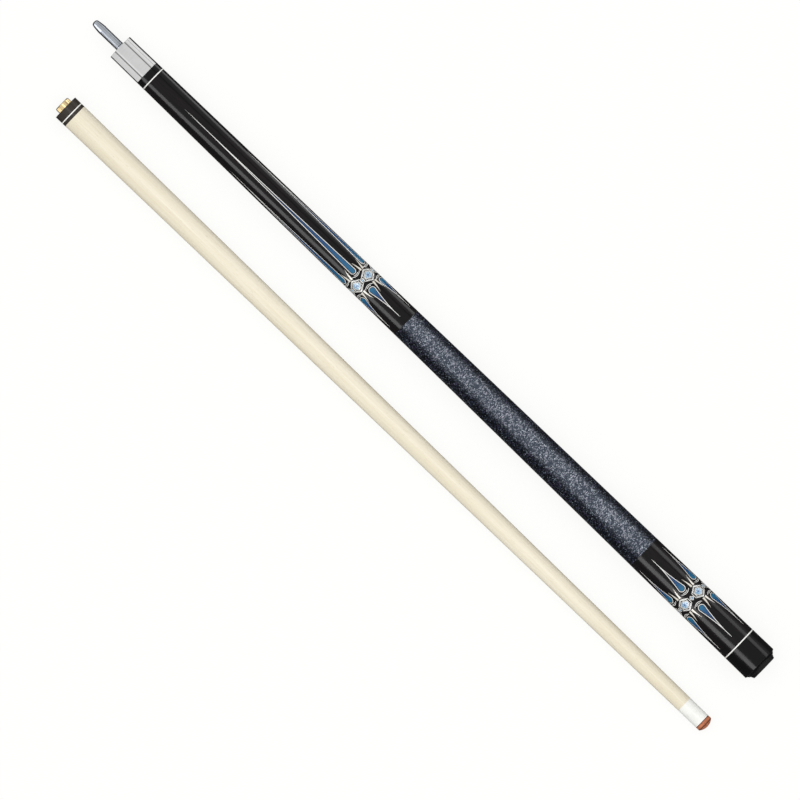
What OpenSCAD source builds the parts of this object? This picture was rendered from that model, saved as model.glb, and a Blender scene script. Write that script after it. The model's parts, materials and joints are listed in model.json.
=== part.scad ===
// Two-piece pool cue, unscrewed, with both halves lying side by side on a flat surface.
// Millimetres, +Z up. The joint ends point towards -X, the bumper and the leather tip towards +X.
// The origin is the centre of the rectangle that the two halves cover, at the level they lie on.
// Each half is modelled along its own axis from the face of its joint collar, and then laid down
// so that its tapered underside rests along its whole length.

/* [Halves] */
// Diameter of both halves where they meet
joint_d = 22.5; // [20:0.1:27]
// Largest diameter of the butt, at the rear edge of its cap
butt_d = 32.5; // [27:0.1:39]
// Diameter of the shaft at the end of the ferrule
tip_d = 14; // [11.5:0.1:17]
// Distance between the axes of the two halves as they lie
lay_spacing = 66; // [50:1:120]
// How much further back the shaft's joint face lies than the butt's
lay_setback = 2.1; // [0:0.1:10]

/* [Butt lengths] */
// Steel joint collar
collar_l = 30.3; // [24:0.1:40]
// Black ring behind the steel collar
collar_ring_l = 6.5; // [3:0.1:12]
// Thin white ring in front of the forearm
forearm_ring_l = 0.9; // [0.8:0.1:4]
// Forearm
forearm_l = 227.5; // [180:0.5:280]
// Each of the two decorated rings
decor_ring_l = 15.3; // [10:0.1:20]
// Bare nose of the handle in front of the wrap
handle_nose_l = 41.5; // [36:0.5:60]
// Linen wrap
wrap_l = 267.4; // [220:0.2:330]
// Front part of the butt sleeve
sleeve_front_l = 46; // [40:0.5:60]
// Rear part of the butt sleeve
sleeve_rear_l = 45.2; // [40:0.1:60]
// Thin white ring in front of the butt cap
cap_ring_l = 1; // [0.6:0.1:3]
// Butt cap, with its rear cove
cap_l = 24.9; // [20:0.1:40]
// How far the bumper stands out of the cap
bumper_proud = 3.1; // [2:0.1:8]

/* [Joint] */
// Diameter of the joint pin over its thread
pin_d = 7.94; // [6.6:0.01:9.6]
// How far the joint pin stands out of the collar's face
pin_proud = 29.4; // [22:0.1:36]
// Length of the pin's plain nose
pin_nose_l = 9.4; // [5:0.1:12]
// Length of the pin glued into the forearm
pin_anchor_l = 46; // [30:1:60]
// How much thicker than the thread that anchor is, on each side
pin_anchor_step = 0.65; // [0.3:0.05:1]
// Diameter of the brass pilot on the shaft
pilot_d = 13.7; // [12.8:0.01:16.5]
// How far the brass pilot stands out of the shaft's joint face
pilot_proud = 4.5; // [3:0.1:6]
// Depth of the counterbore that takes the pilot
pilot_seat_l = 5; // [4.8:0.1:7]
// Thickness of the collar's web behind that counterbore
collar_web_t = 2.5; // [1.5:0.1:4]
// Wall of the brass insert round its thread
insert_wall = 1.6; // [1:0.1:2]
// Wood left round the insert, in the shaft's front tenon
insert_cover = 2.8; // [2:0.1:3.5]

/* [Shaft lengths] */
// Black joint collar of the shaft
shaft_collar_l = 6.7; // [4:0.1:12]
// Thin white ring behind it
shaft_white_l = 0.9; // [0.6:0.1:3]
// Thin black ring behind the white one
shaft_black_l = 2.9; // [1.5:0.1:6]
// Bare maple of the shaft
shaft_wood_l = 686.1; // [560:0.1:760]
// White ferrule
ferrule_l = 20; // [12:0.5:30]
// Leather tip at its middle
tip_l = 6.25; // [5:0.05:9]
// Radius of the tip's dome
tip_dome_r = 10.6; // [10.2:0.1:14]
// Diameter of the wooden tenon inside the ferrule
ferrule_tenon_d = 8.4; // [6:0.1:9]

/* [Core of the butt] */
// Diameter of the wooden tenons under the collars, rings and sleeves
tenon_d = 17; // [15.4:0.1:18]
// Diameter of the steel bolt that joins forearm and handle
core_bolt_d = 9.5; // [8:0.1:11.5]
// Length of that bolt
core_bolt_l = 90; // [60:1:110]
// Diameter of the weight bolt, and of the bumper's stem behind it
weight_d = 12.7; // [10:0.1:14]
// Length of the weight bolt
weight_l = 60; // [30:1:72]
// Width across the flats of its hexagon socket
weight_socket_w = 6; // [4:0.5:7]
// Depth of that socket
weight_socket_l = 6; // [4:0.5:10]
// Distance from the rear face of the tenon to the weight bolt
weight_back_l = 78; // [60:1:100]
// Length of the bumper's stem
bumper_stem_l = 15; // [8:1:20]
// Depth of the bumper's seat in the cap
bumper_seat_l = 3; // [2:0.1:5]
// Thickness of the linen wrap
wrap_t = 0.8; // [0.5:0.1:1.2]

/* [Inlays] */
// Points and spears around each stretch of the butt
inlay_count = 6; // [4:2:6]
// Distance from the front of the forearm to the tips of the long points
long_point_s = 34.7; // [20:0.1:80]
// Distance from the front of the forearm to the tips of the short points
short_point_s = 95.5; // [60:0.5:140]
// Largest half width of a forearm point
point_half_w = 2.7; // [2:0.1:4]
// Length of a spear beside a decorated ring
spear_l = 38; // [28:0.5:39]
// Length of a spear on the nose of the handle
nose_spear_l = 35; // [28:0.5:36]
// Largest half width of a spear
spear_half_w = 3.2; // [2:0.1:4]
// How much wider every second point and spear is
wide_gain = 1.25; // [1:0.05:1.3]
// Width of the white line round a blue core
veneer_w = 0.5; // [0.3:0.05:1]
// Depth of the inlays
inlay_t = 0.6; // [0.4:0.1:1.5]

/* [Fits] */
// Radial gap for glue between pieces that are fixed to each other
glue_gap = 0.03; // [0.02:0.01:0.06]
// Radial clearance of the weight bolt and the bumper's stem in their bore
run_gap = 0.05; // [0.02:0.01:0.09]
// Radial clearance of the joint pin in the brass insert
thread_gap = 0.05; // [0.02:0.01:0.09]
// Radial clearance of the brass pilot in the steel collar
pilot_gap = 0.15; // [0.05:0.01:0.3]
// Gap between the leather tip and the ferrule
tip_gap = 0.05; // [0.03:0.01:0.1]

/* [Hidden] */
$fn = 96;

// Stations along the butt, from the face of the steel collar
s_collar_ring = collar_l;
s_forearm_ring = s_collar_ring + collar_ring_l;
s_forearm = s_forearm_ring + forearm_ring_l;
s_upper_ring = s_forearm + forearm_l;
s_handle_nose = s_upper_ring + decor_ring_l;
s_wrap = s_handle_nose + handle_nose_l;
s_sleeve_front = s_wrap + wrap_l;
s_lower_ring = s_sleeve_front + sleeve_front_l;
s_sleeve_rear = s_lower_ring + decor_ring_l;
s_cap_ring = s_sleeve_rear + sleeve_rear_l;
s_cap = s_cap_ring + cap_ring_l;
s_bumper = s_cap + cap_l;
s_butt_end = s_bumper + bumper_proud;
cap_cove_l = 2.3;
s_cap_edge = s_bumper - cap_cove_l;

// Stations along the shaft, from the face of its joint collar
t_white = shaft_collar_l;
t_black = t_white + shaft_white_l;
t_wood = t_black + shaft_black_l;
t_ferrule = t_wood + shaft_wood_l;
t_tip = t_ferrule + ferrule_l;
t_end = t_tip + tip_l;

// Tapers
butt_slope = (butt_d - joint_d) / 2 / s_cap_edge;
shaft_slope = (joint_d - tip_d) / 2 / t_tip;
butt_lean = atan(butt_slope);
shaft_lean = atan(shaft_slope);
function butt_r(s) = joint_d / 2 + butt_slope * s;
function shaft_r(t) = joint_d / 2 - shaft_slope * t;

// The butt's core
bore_spare = 0.5;
pin_r = pin_d / 2;
pin_point_l = 1.2;
pin_nose_taper = 0.9;
pin_point_taper = 1.3;
anchor_r = pin_r + pin_anchor_step;
anchor_end = pilot_seat_l + collar_web_t + pin_anchor_l;
tenon_front = pilot_seat_l + collar_web_t;
core_bolt_front = s_upper_ring - core_bolt_l / 2;
cap_floor_t = 6.8;
tenon_end = s_bumper - bumper_seat_l - cap_floor_t;
weight_r = weight_d / 2;
bore_r = weight_r + run_gap;
weight_end = tenon_end - weight_back_l;
weight_front = weight_end - weight_l;
bore_front_room = 12;
bore_front = weight_front - bore_front_room;
wrap_seat = wrap_t + glue_gap;
bumper_gap = 0.1;

// The bumper's head and the cove in front of it
head_step = 3.4;
head_taper = 1.05;
head_round = 0.8;
stem_chamfer = 1;
cove_lip = 0.7;
head_r = butt_d / 2 - head_step;
head_end_r = head_r - head_taper;
stem_front = s_bumper - bumper_seat_l - bumper_stem_l;
head_front = s_bumper - bumper_seat_l + bumper_gap;

// The brass insert
insert_r = pin_r + insert_wall;
insert_hole_r = pin_r + thread_gap;
insert_hole_spare = 2.6;
insert_hole_l = pin_proud + insert_hole_spare;
insert_floor_t = 2;
insert_end = insert_hole_l + insert_floor_t;
insert_sink = 0.1;
pilot_chamfer = 0.8;
shaft_web_t = 1.5;
shaft_tenon_r = insert_r + insert_cover;
ferrule_roof_t = 5;
ferrule_tenon_l = ferrule_l - ferrule_roof_t;

// Inlay outlines
point_power = 1.45;
spear_power = 2;
side_steps = 8;
round_steps = 4;
ring_margin = 0.6;
plug_reach = 1;

// Where the halves lie
lay_l = pin_proud + max(s_butt_end, lay_setback + t_end);
butt_x = pin_proud - lay_l / 2;
butt_y = (lay_spacing + joint_d / 2 - butt_d / 2) / 2;
shaft_y = butt_y - lay_spacing;
butt_z = joint_d / 2 * cos(butt_lean);
shaft_z = joint_d / 2 * cos(shaft_lean);

module lay_butt() {
    translate([butt_x, butt_y, butt_z])
        rotate([0, 90 - butt_lean, 0])
            children();
}

module lay_shaft() {
    translate([butt_x + lay_setback, shaft_y, shaft_z])
        rotate([0, 90 + shaft_lean, 0])
            children();
}

// A straight round piece from one station to another
module rod(a, b, r) {
    translate([0, 0, a])
        cylinder(h = b - a, r = r);
}

// A stretch of the butt's taper, with its surface set in by inset
module butt_taper(a, b, inset = 0) {
    translate([0, 0, a])
        cylinder(h = b - a, r1 = butt_r(a) - inset, r2 = butt_r(b) - inset);
}

// A stretch of the shaft's taper
module shaft_taper(a, b) {
    translate([0, 0, a])
        cylinder(h = b - a, r1 = shaft_r(a), r2 = shaft_r(b));
}

// A sleeve on the butt's taper with a straight bore
module butt_sleeve(a, b, bore) {
    difference() {
        butt_taper(a, b);
        rod(a - bore_spare, b + bore_spare, bore);
    }
}

// Half an inlay's outline from its tip to the middle of its round end. inset draws it that much smaller.
function inlay_side(tip, root, w, power, inset) =
    let (
        way = root > tip ? 1 : -1,
        neck = root - way * w,
        first = pow(inset / w, 1 / power)
    )
    concat(
        [for (i = [0 : side_steps - 1])
            let (v = first + (1 - first) * i / side_steps)
            [tip + (neck - tip) * v, w * pow(v, power) - inset]],
        [for (j = [0 : round_steps])
            let (a = 90 * j / round_steps)
            [neck + way * (w - inset) * sin(a), (w - inset) * cos(a)]]
    );

function mirrored(points) =
    [for (i = [len(points) - 2 : -1 : 1]) [points[i][0], -points[i][1]]];

function inlay_outline(tip, root, w, power, inset) =
    let (side = inlay_side(tip, root, w, power, inset))
    concat(side, mirrored(side));

// Largest half width of the inlay at a place in the circle
function inlay_w(w, i) = i % 2 == 0 ? w : w * wide_gain;

// An inlay's outline as a plug through the butt's skin, at the top of the butt
module inlay_plug(tip, root, w, power, inset) {
    rotate([0, 0, 180])
        translate([butt_d / 2 + plug_reach, 0, 0])
            rotate([0, -90, 0])
                linear_extrude(height = butt_d / 2 - joint_d / 4)
                    polygon(inlay_outline(tip, root, w, power, inset));
}

// The skin of the butt that inlays are let into
module inlay_skin(a, b, depth) {
    difference() {
        butt_taper(a, b);
        butt_taper(a - 1, b + 1, depth);
    }
}

// Pockets for inlays: everything outside the pocket floor
module inlay_pockets(a, b, tips, root, w, power) {
    difference() {
        for (i = [0 : inlay_count - 1])
            rotate([0, 0, 360 / inlay_count * i])
                inlay_plug(tips[i % 2], root, inlay_w(w, i), power, 0);
        butt_taper(a - 1, b + 1, inlay_t);
    }
}

module veneers(a, b, tips, root, w, power) {
    intersection() {
        for (i = [0 : inlay_count - 1])
            rotate([0, 0, 360 / inlay_count * i])
                difference() {
                    inlay_plug(tips[i % 2], root, inlay_w(w, i), power, 0);
                    inlay_plug(tips[i % 2], root, inlay_w(w, i), power, veneer_w);
                }
        inlay_skin(a, b, inlay_t);
    }
}

module cores(a, b, tips, root, w, power) {
    intersection() {
        for (i = [0 : inlay_count - 1])
            rotate([0, 0, 360 / inlay_count * i])
                inlay_plug(tips[i % 2], root, inlay_w(w, i), power, veneer_w);
        inlay_skin(a, b, inlay_t);
    }
}

point_tips = [s_forearm + long_point_s, s_forearm + short_point_s];
point_root = s_upper_ring - ring_margin;
nose_tips = [s_handle_nose + nose_spear_l, s_handle_nose + nose_spear_l];
nose_root = s_handle_nose + ring_margin;
front_tips = [s_lower_ring - spear_l, s_lower_ring - spear_l];
front_root = s_lower_ring - ring_margin;
rear_tips = [s_sleeve_rear + spear_l, s_sleeve_rear + spear_l];
rear_root = s_sleeve_rear + ring_margin;

module joint_pin() {
    color("silver")
        lay_butt()
            rotate_extrude()
                polygon([
                    [0, -pin_proud],
                    [pin_r - pin_nose_taper - pin_point_taper, -pin_proud],
                    [pin_r - pin_nose_taper, pin_point_l - pin_proud],
                    [pin_r, pin_nose_l - pin_proud],
                    [pin_r, pilot_seat_l],
                    [anchor_r, pilot_seat_l],
                    [anchor_r, anchor_end],
                    [0, anchor_end]
                ]);
}

module joint_collar() {
    color("gainsboro")
        lay_butt()
            difference() {
                butt_taper(0, s_collar_ring);
                rod(-bore_spare, pilot_seat_l, pilot_d / 2 + pilot_gap);
                rod(0, tenon_front, anchor_r + glue_gap);
                rod(tenon_front, s_collar_ring + bore_spare, tenon_d / 2 + glue_gap);
            }
}

module collar_ring() {
    color("black")
        lay_butt()
            butt_sleeve(s_collar_ring, s_forearm_ring, tenon_d / 2 + glue_gap);
}

module forearm_ring() {
    color("white")
        lay_butt()
            butt_sleeve(s_forearm_ring, s_forearm, tenon_d / 2 + glue_gap);
}

module forearm() {
    color("#151517")
        lay_butt()
            difference() {
                union() {
                    butt_taper(s_forearm, s_upper_ring);
                    rod(tenon_front, s_forearm + 1, tenon_d / 2);
                }
                rod(tenon_front - bore_spare, anchor_end + bore_spare, anchor_r + glue_gap);
                rod(core_bolt_front - bore_spare, s_upper_ring + bore_spare, core_bolt_d / 2 + glue_gap);
                inlay_pockets(s_forearm, s_upper_ring, point_tips, point_root, point_half_w, point_power);
            }
}

module point_veneers() {
    color("ivory")
        lay_butt()
            veneers(s_forearm, s_upper_ring, point_tips, point_root, point_half_w, point_power);
}

module point_cores() {
    color("steelblue")
        lay_butt()
            cores(s_forearm, s_upper_ring, point_tips, point_root, point_half_w, point_power);
}

module core_bolt() {
    color("dimgray")
        lay_butt()
            rod(core_bolt_front, core_bolt_front + core_bolt_l, core_bolt_d / 2);
}

module upper_decor_ring() {
    color("lightblue")
        lay_butt()
            butt_sleeve(s_upper_ring, s_handle_nose, tenon_d / 2 + glue_gap);
}

module handle() {
    color("#1b1b1e")
        lay_butt()
            difference() {
                union() {
                    rod(s_upper_ring, s_handle_nose + 1, tenon_d / 2);
                    butt_taper(s_handle_nose, s_wrap);
                    butt_taper(s_wrap - 1, s_sleeve_front, wrap_seat);
                    rod(s_sleeve_front - 1, tenon_end, tenon_d / 2);
                }
                rod(s_upper_ring - bore_spare, core_bolt_front + core_bolt_l + bore_spare,
                    core_bolt_d / 2 + glue_gap);
                rod(bore_front, tenon_end + bore_spare, bore_r);
                inlay_pockets(s_handle_nose, s_wrap, nose_tips, nose_root, spear_half_w, spear_power);
            }
}

module nose_spear_veneers() {
    color("ivory")
        lay_butt()
            veneers(s_handle_nose, s_wrap, nose_tips, nose_root, spear_half_w, spear_power);
}

module nose_spear_cores() {
    color("steelblue")
        lay_butt()
            cores(s_handle_nose, s_wrap, nose_tips, nose_root, spear_half_w, spear_power);
}

module linen_wrap() {
    color("slategray")
        lay_butt()
            difference() {
                butt_taper(s_wrap, s_sleeve_front);
                butt_taper(s_wrap - 1, s_sleeve_front + 1, wrap_t);
            }
}

module sleeve_front() {
    color("#151517")
        lay_butt()
            difference() {
                butt_sleeve(s_sleeve_front, s_lower_ring, tenon_d / 2 + glue_gap);
                inlay_pockets(s_sleeve_front, s_lower_ring, front_tips, front_root, spear_half_w, spear_power);
            }
}

module front_spear_veneers() {
    color("ivory")
        lay_butt()
            veneers(s_sleeve_front, s_lower_ring, front_tips, front_root, spear_half_w, spear_power);
}

module front_spear_cores() {
    color("steelblue")
        lay_butt()
            cores(s_sleeve_front, s_lower_ring, front_tips, front_root, spear_half_w, spear_power);
}

module lower_decor_ring() {
    color("lightblue")
        lay_butt()
            butt_sleeve(s_lower_ring, s_sleeve_rear, tenon_d / 2 + glue_gap);
}

module sleeve_rear() {
    color("#151517")
        lay_butt()
            difference() {
                butt_sleeve(s_sleeve_rear, s_cap_ring, tenon_d / 2 + glue_gap);
                inlay_pockets(s_sleeve_rear, s_cap_ring, rear_tips, rear_root, spear_half_w, spear_power);
            }
}

module rear_spear_veneers() {
    color("ivory")
        lay_butt()
            veneers(s_sleeve_rear, s_cap_ring, rear_tips, rear_root, spear_half_w, spear_power);
}

module rear_spear_cores() {
    color("steelblue")
        lay_butt()
            cores(s_sleeve_rear, s_cap_ring, rear_tips, rear_root, spear_half_w, spear_power);
}

module cap_ring() {
    color("white")
        lay_butt()
            butt_sleeve(s_cap_ring, s_cap, tenon_d / 2 + glue_gap);
}

module butt_cap() {
    color("#1a1a1b")
        lay_butt()
            difference() {
                union() {
                    butt_taper(s_cap, s_cap_edge);
                    translate([0, 0, s_cap_edge])
                        cylinder(h = cap_cove_l, r1 = butt_d / 2, r2 = head_r + cove_lip);
                }
                rod(s_cap - bore_spare, tenon_end, tenon_d / 2 + glue_gap);
                rod(s_cap, s_bumper + bore_spare, bore_r);
                rod(s_bumper - bumper_seat_l, s_bumper + bore_spare, head_r + run_gap);
            }
}

module weight_bolt() {
    color("gray")
        lay_butt()
            difference() {
                rod(weight_front, weight_end, weight_r);
                translate([0, 0, weight_end - weight_socket_l])
                    cylinder(h = weight_socket_l + bore_spare, d = weight_socket_w / cos(30), $fn = 6);
            }
}

module bumper() {
    color("#101010")
        lay_butt()
            rotate_extrude()
                polygon([
                    [0, stem_front],
                    [weight_r - stem_chamfer, stem_front],
                    [weight_r, stem_front + stem_chamfer],
                    [weight_r, head_front],
                    [head_r, head_front],
                    [head_r, s_bumper],
                    [head_end_r, s_butt_end - head_round],
                    [head_end_r - head_round, s_butt_end],
                    [0, s_butt_end]
                ]);
}

module brass_insert() {
    color("goldenrod")
        lay_shaft()
            difference() {
                union() {
                    translate([0, 0, -pilot_proud])
                        cylinder(h = pilot_chamfer, r1 = pilot_d / 2 - pilot_chamfer, r2 = pilot_d / 2);
                    rod(pilot_chamfer - pilot_proud, 0, pilot_d / 2);
                    rod(-insert_sink, insert_end, insert_r);
                }
                rod(-pilot_proud - bore_spare, insert_hole_l, insert_hole_r);
            }
}

module shaft_collar() {
    color("black")
        lay_shaft()
            difference() {
                shaft_taper(0, t_white);
                rod(-bore_spare, t_white, insert_r + glue_gap);
                rod(shaft_web_t, t_white + bore_spare, shaft_tenon_r + glue_gap);
            }
}

module shaft_white_ring() {
    color("white")
        lay_shaft()
            difference() {
                shaft_taper(t_white, t_black);
                rod(t_white - bore_spare, t_black + bore_spare, shaft_tenon_r + glue_gap);
            }
}

module shaft_black_ring() {
    color("black")
        lay_shaft()
            difference() {
                shaft_taper(t_black, t_wood);
                rod(t_black - bore_spare, t_wood + bore_spare, shaft_tenon_r + glue_gap);
            }
}

module shaft_wood() {
    color("wheat")
        lay_shaft()
            difference() {
                union() {
                    rod(shaft_web_t, t_wood + 1, shaft_tenon_r);
                    shaft_taper(t_wood, t_ferrule);
                    rod(t_ferrule - 1, t_ferrule + ferrule_tenon_l, ferrule_tenon_d / 2);
                }
                rod(shaft_web_t - bore_spare, insert_end + bore_spare, insert_r + glue_gap);
            }
}

module ferrule() {
    color("white")
        lay_shaft()
            difference() {
                shaft_taper(t_ferrule, t_tip);
                rod(t_ferrule - bore_spare, t_ferrule + ferrule_tenon_l + glue_gap,
                    ferrule_tenon_d / 2 + glue_gap);
            }
}

module leather_tip() {
    color("sienna")
        lay_shaft()
            intersection() {
                rod(t_tip + tip_gap, t_end + 1, tip_d / 2);
                translate([0, 0, t_end - tip_dome_r])
                    sphere(r = tip_dome_r);
            }
}

joint_pin();
joint_collar();
collar_ring();
forearm_ring();
forearm();
point_veneers();
point_cores();
core_bolt();
upper_decor_ring();
handle();
nose_spear_veneers();
nose_spear_cores();
linen_wrap();
sleeve_front();
front_spear_veneers();
front_spear_cores();
lower_decor_ring();
sleeve_rear();
rear_spear_veneers();
rear_spear_cores();
cap_ring();
butt_cap();
weight_bolt();
bumper();
brass_insert();
shaft_collar();
shaft_white_ring();
shaft_black_ring();
shaft_wood();
ferrule();
leather_tip();
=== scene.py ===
"""Looks for a two-piece pool cue that lies unscrewed: an inlaid black butt and a maple shaft."""

import json
import logging
import math
from dataclasses import dataclass
from enum import Enum
from typing import Any, Callable, Iterable, Sequence

import bmesh
import bpy
from mathutils import Matrix, Vector

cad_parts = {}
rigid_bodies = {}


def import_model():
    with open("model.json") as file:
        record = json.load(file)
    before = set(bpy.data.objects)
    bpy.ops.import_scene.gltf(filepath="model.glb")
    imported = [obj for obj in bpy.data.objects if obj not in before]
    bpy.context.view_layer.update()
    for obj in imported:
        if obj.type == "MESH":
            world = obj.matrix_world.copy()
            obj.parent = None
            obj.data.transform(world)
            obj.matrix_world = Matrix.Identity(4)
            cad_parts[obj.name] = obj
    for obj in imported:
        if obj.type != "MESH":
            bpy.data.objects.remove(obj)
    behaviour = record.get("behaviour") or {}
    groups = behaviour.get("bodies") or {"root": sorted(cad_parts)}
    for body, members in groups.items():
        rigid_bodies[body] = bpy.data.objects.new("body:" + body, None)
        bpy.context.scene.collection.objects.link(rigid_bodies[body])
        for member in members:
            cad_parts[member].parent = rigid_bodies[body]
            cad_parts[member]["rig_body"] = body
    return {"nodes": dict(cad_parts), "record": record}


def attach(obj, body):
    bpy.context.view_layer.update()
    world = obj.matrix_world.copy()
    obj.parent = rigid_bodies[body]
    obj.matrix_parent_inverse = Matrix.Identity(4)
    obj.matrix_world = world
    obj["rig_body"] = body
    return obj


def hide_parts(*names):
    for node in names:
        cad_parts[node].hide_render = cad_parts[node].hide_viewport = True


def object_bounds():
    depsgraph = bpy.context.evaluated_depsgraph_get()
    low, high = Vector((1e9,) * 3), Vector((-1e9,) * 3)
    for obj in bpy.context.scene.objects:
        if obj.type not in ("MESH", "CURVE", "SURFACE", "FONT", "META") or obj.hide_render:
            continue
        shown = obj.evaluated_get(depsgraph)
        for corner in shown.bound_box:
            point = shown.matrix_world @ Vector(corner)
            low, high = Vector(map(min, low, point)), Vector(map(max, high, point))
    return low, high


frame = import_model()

CAD_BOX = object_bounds()
MM = 0.001
SEAT_L = 5.0
"""Depth of the steel collar's counterbore, where the pin's mount ends, in millimetres."""
SINK = 0.03
"""How far turned grounds lie under the taper where thin inlays cover them, in millimetres."""
EASED_FROM = math.radians(14)
"""Corners flatter than this keep their edge."""
EASED_SHARE = 0.22
"""Most of a side that the round on one of its corners takes."""
log = logging.getLogger("pool_cue")

Spot = tuple[float, float]
Row = list[Spot]
Colour = tuple[float, float, float, float]


def ink(red: float, green: float, blue: float) -> Colour:
    """Turns a colour of a paint chart, 0 to 255 in each part, into the linear colour a shader takes.

    Args:
        red: Red part.
        green: Green part.
        blue: Blue part.

    Returns:
        Linear red, green and blue, and an alpha of 1.
    """
    def linear(part: float) -> float:
        """One part made linear."""
        v = part / 255
        return v / 12.92 if v <= 0.04045 else ((v + 0.055) / 1.055) ** 2.4

    return (linear(red), linear(green), linear(blue), 1.0)


# ---------------------------------------------------------------------------------------------
# The two centre lines, and pieces that are turned, wound or let in round them
# ---------------------------------------------------------------------------------------------


@dataclass(frozen=True)
class Half:
    """One half of the cue: its centre line from the joint face backwards, and its straight taper.

    Stations and radii are in millimetres. Angles are in radians, 0 on top and growing towards +Y.
    """

    origin: Vector
    along: Vector
    front_r: float
    slope: float

    @classmethod
    def between(cls, origin: Vector, along: Vector, front_node: str, rear_node: str) -> "Half":
        """Finds the taper from the widest spots of two nodes.

        Args:
            origin: Centre of the joint face, in metres.
            along: Direction from the joint face to the far end.
            front_node: Node that starts at the joint face.
            rear_node: Node at the far end of the taper.

        Returns:
            The half.
        """
        bare = cls(origin, along.normalized(), 0.0, 0.0)
        at_face = 0.05
        front_s, front_r = bare.widest(front_node, lambda s, r: (round(r, 2) if s < at_face else 0, -s))
        rear_s, rear_r = bare.widest(rear_node, lambda s, r: (r, s))
        if rear_r < front_r:
            rear_s, rear_r = bare.widest(rear_node, lambda s, r: (round(s, 1), r))
        slope = (rear_r - front_r) / (rear_s - front_s)
        return cls(bare.origin, bare.along, front_r - slope * front_s, slope)

    def widest(self, node: str, key: Callable[[float, float], Any]) -> Spot:
        """Station and radius of the node's vertex that the key puts first."""
        return max((self.place(v.co) for v in frame["nodes"][node].data.vertices), key=lambda p: key(*p))

    def place(self, point: Vector) -> Spot:
        """Measures where a point is.

        Args:
            point: The point, in metres.

        Returns:
            Its station and radius.
        """
        away = Vector(point) - self.origin
        s = away.dot(self.along)
        return s / MM, (away - self.along * s).length / MM

    def reach(self, *nodes: str) -> Spot:
        """First and last station that these nodes cover."""
        stations = [self.place(v.co)[0] for n in nodes for v in frame["nodes"][n].data.vertices]
        return min(stations), max(stations)

    def radius(self, s: float) -> float:
        """Radius of the taper at a station."""
        return self.front_r + self.slope * s

    def spot(self, s: float, r: float, angle: float) -> Vector:
        """Finds a point of the half.

        Args:
            s: Station.
            r: Radius.
            angle: Angle round the centre line.

        Returns:
            The point, in metres.
        """
        up = (Vector((0, 0, 1)) - self.along * self.along.z).normalized()
        side = up.cross(self.along)
        return self.origin + (self.along * s + (up * math.cos(angle) + side * math.sin(angle)) * r) * MM


def eased(profile: Sequence[Spot], ease: float, closed: bool) -> tuple[list[Spot], list[float]]:
    """Breaks every sharp corner of a turned profile with a small round.

    Args:
        profile: Stations and radii, outer side first.
        ease: Size of the round.
        closed: Whether the last spot joins the first one.

    Returns:
        The new profile, and for each spot how much it lies on an edge, from 0 to 1.
    """
    out: list[Spot] = []
    marks: list[float] = []
    count = len(profile)
    for i, here in enumerate(profile):
        if not closed and i in (0, count - 1):
            out.append(here)
            marks.append(0.0)
            continue
        p = Vector(here)
        back, on = Vector(profile[i - 1]) - p, Vector(profile[(i + 1) % count]) - p
        if back.length < 1e-6 or on.length < 1e-6 or back.angle(-on) < EASED_FROM:
            out.append(here)
            marks.append(0.0)
            continue
        d = min(ease, back.length * EASED_SHARE, on.length * EASED_SHARE)
        a, b = p + back.normalized() * d, p + on.normalized() * d
        for q, mark in ((p + back.normalized() * d * 2, 0.0), (a, 0.6), (a * 0.25 + p * 0.5 + b * 0.25, 1.0),
                        (b, 0.6), (p + on.normalized() * d * 2, 0.0)):
            out.append((q.x, q.y))
            marks.append(mark)
    return out, marks


def made(name: str, mesh: bpy.types.Mesh) -> bpy.types.Object:
    """Puts a mesh in the scene, smooth-shaded.

    Args:
        name: Name of the object.
        mesh: Its mesh.

    Returns:
        The object.
    """
    mesh.polygons.foreach_set("use_smooth", [True] * len(mesh.polygons))
    mesh.update()
    piece = bpy.data.objects.new(name, mesh)
    bpy.context.scene.collection.objects.link(piece)
    return piece


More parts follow.
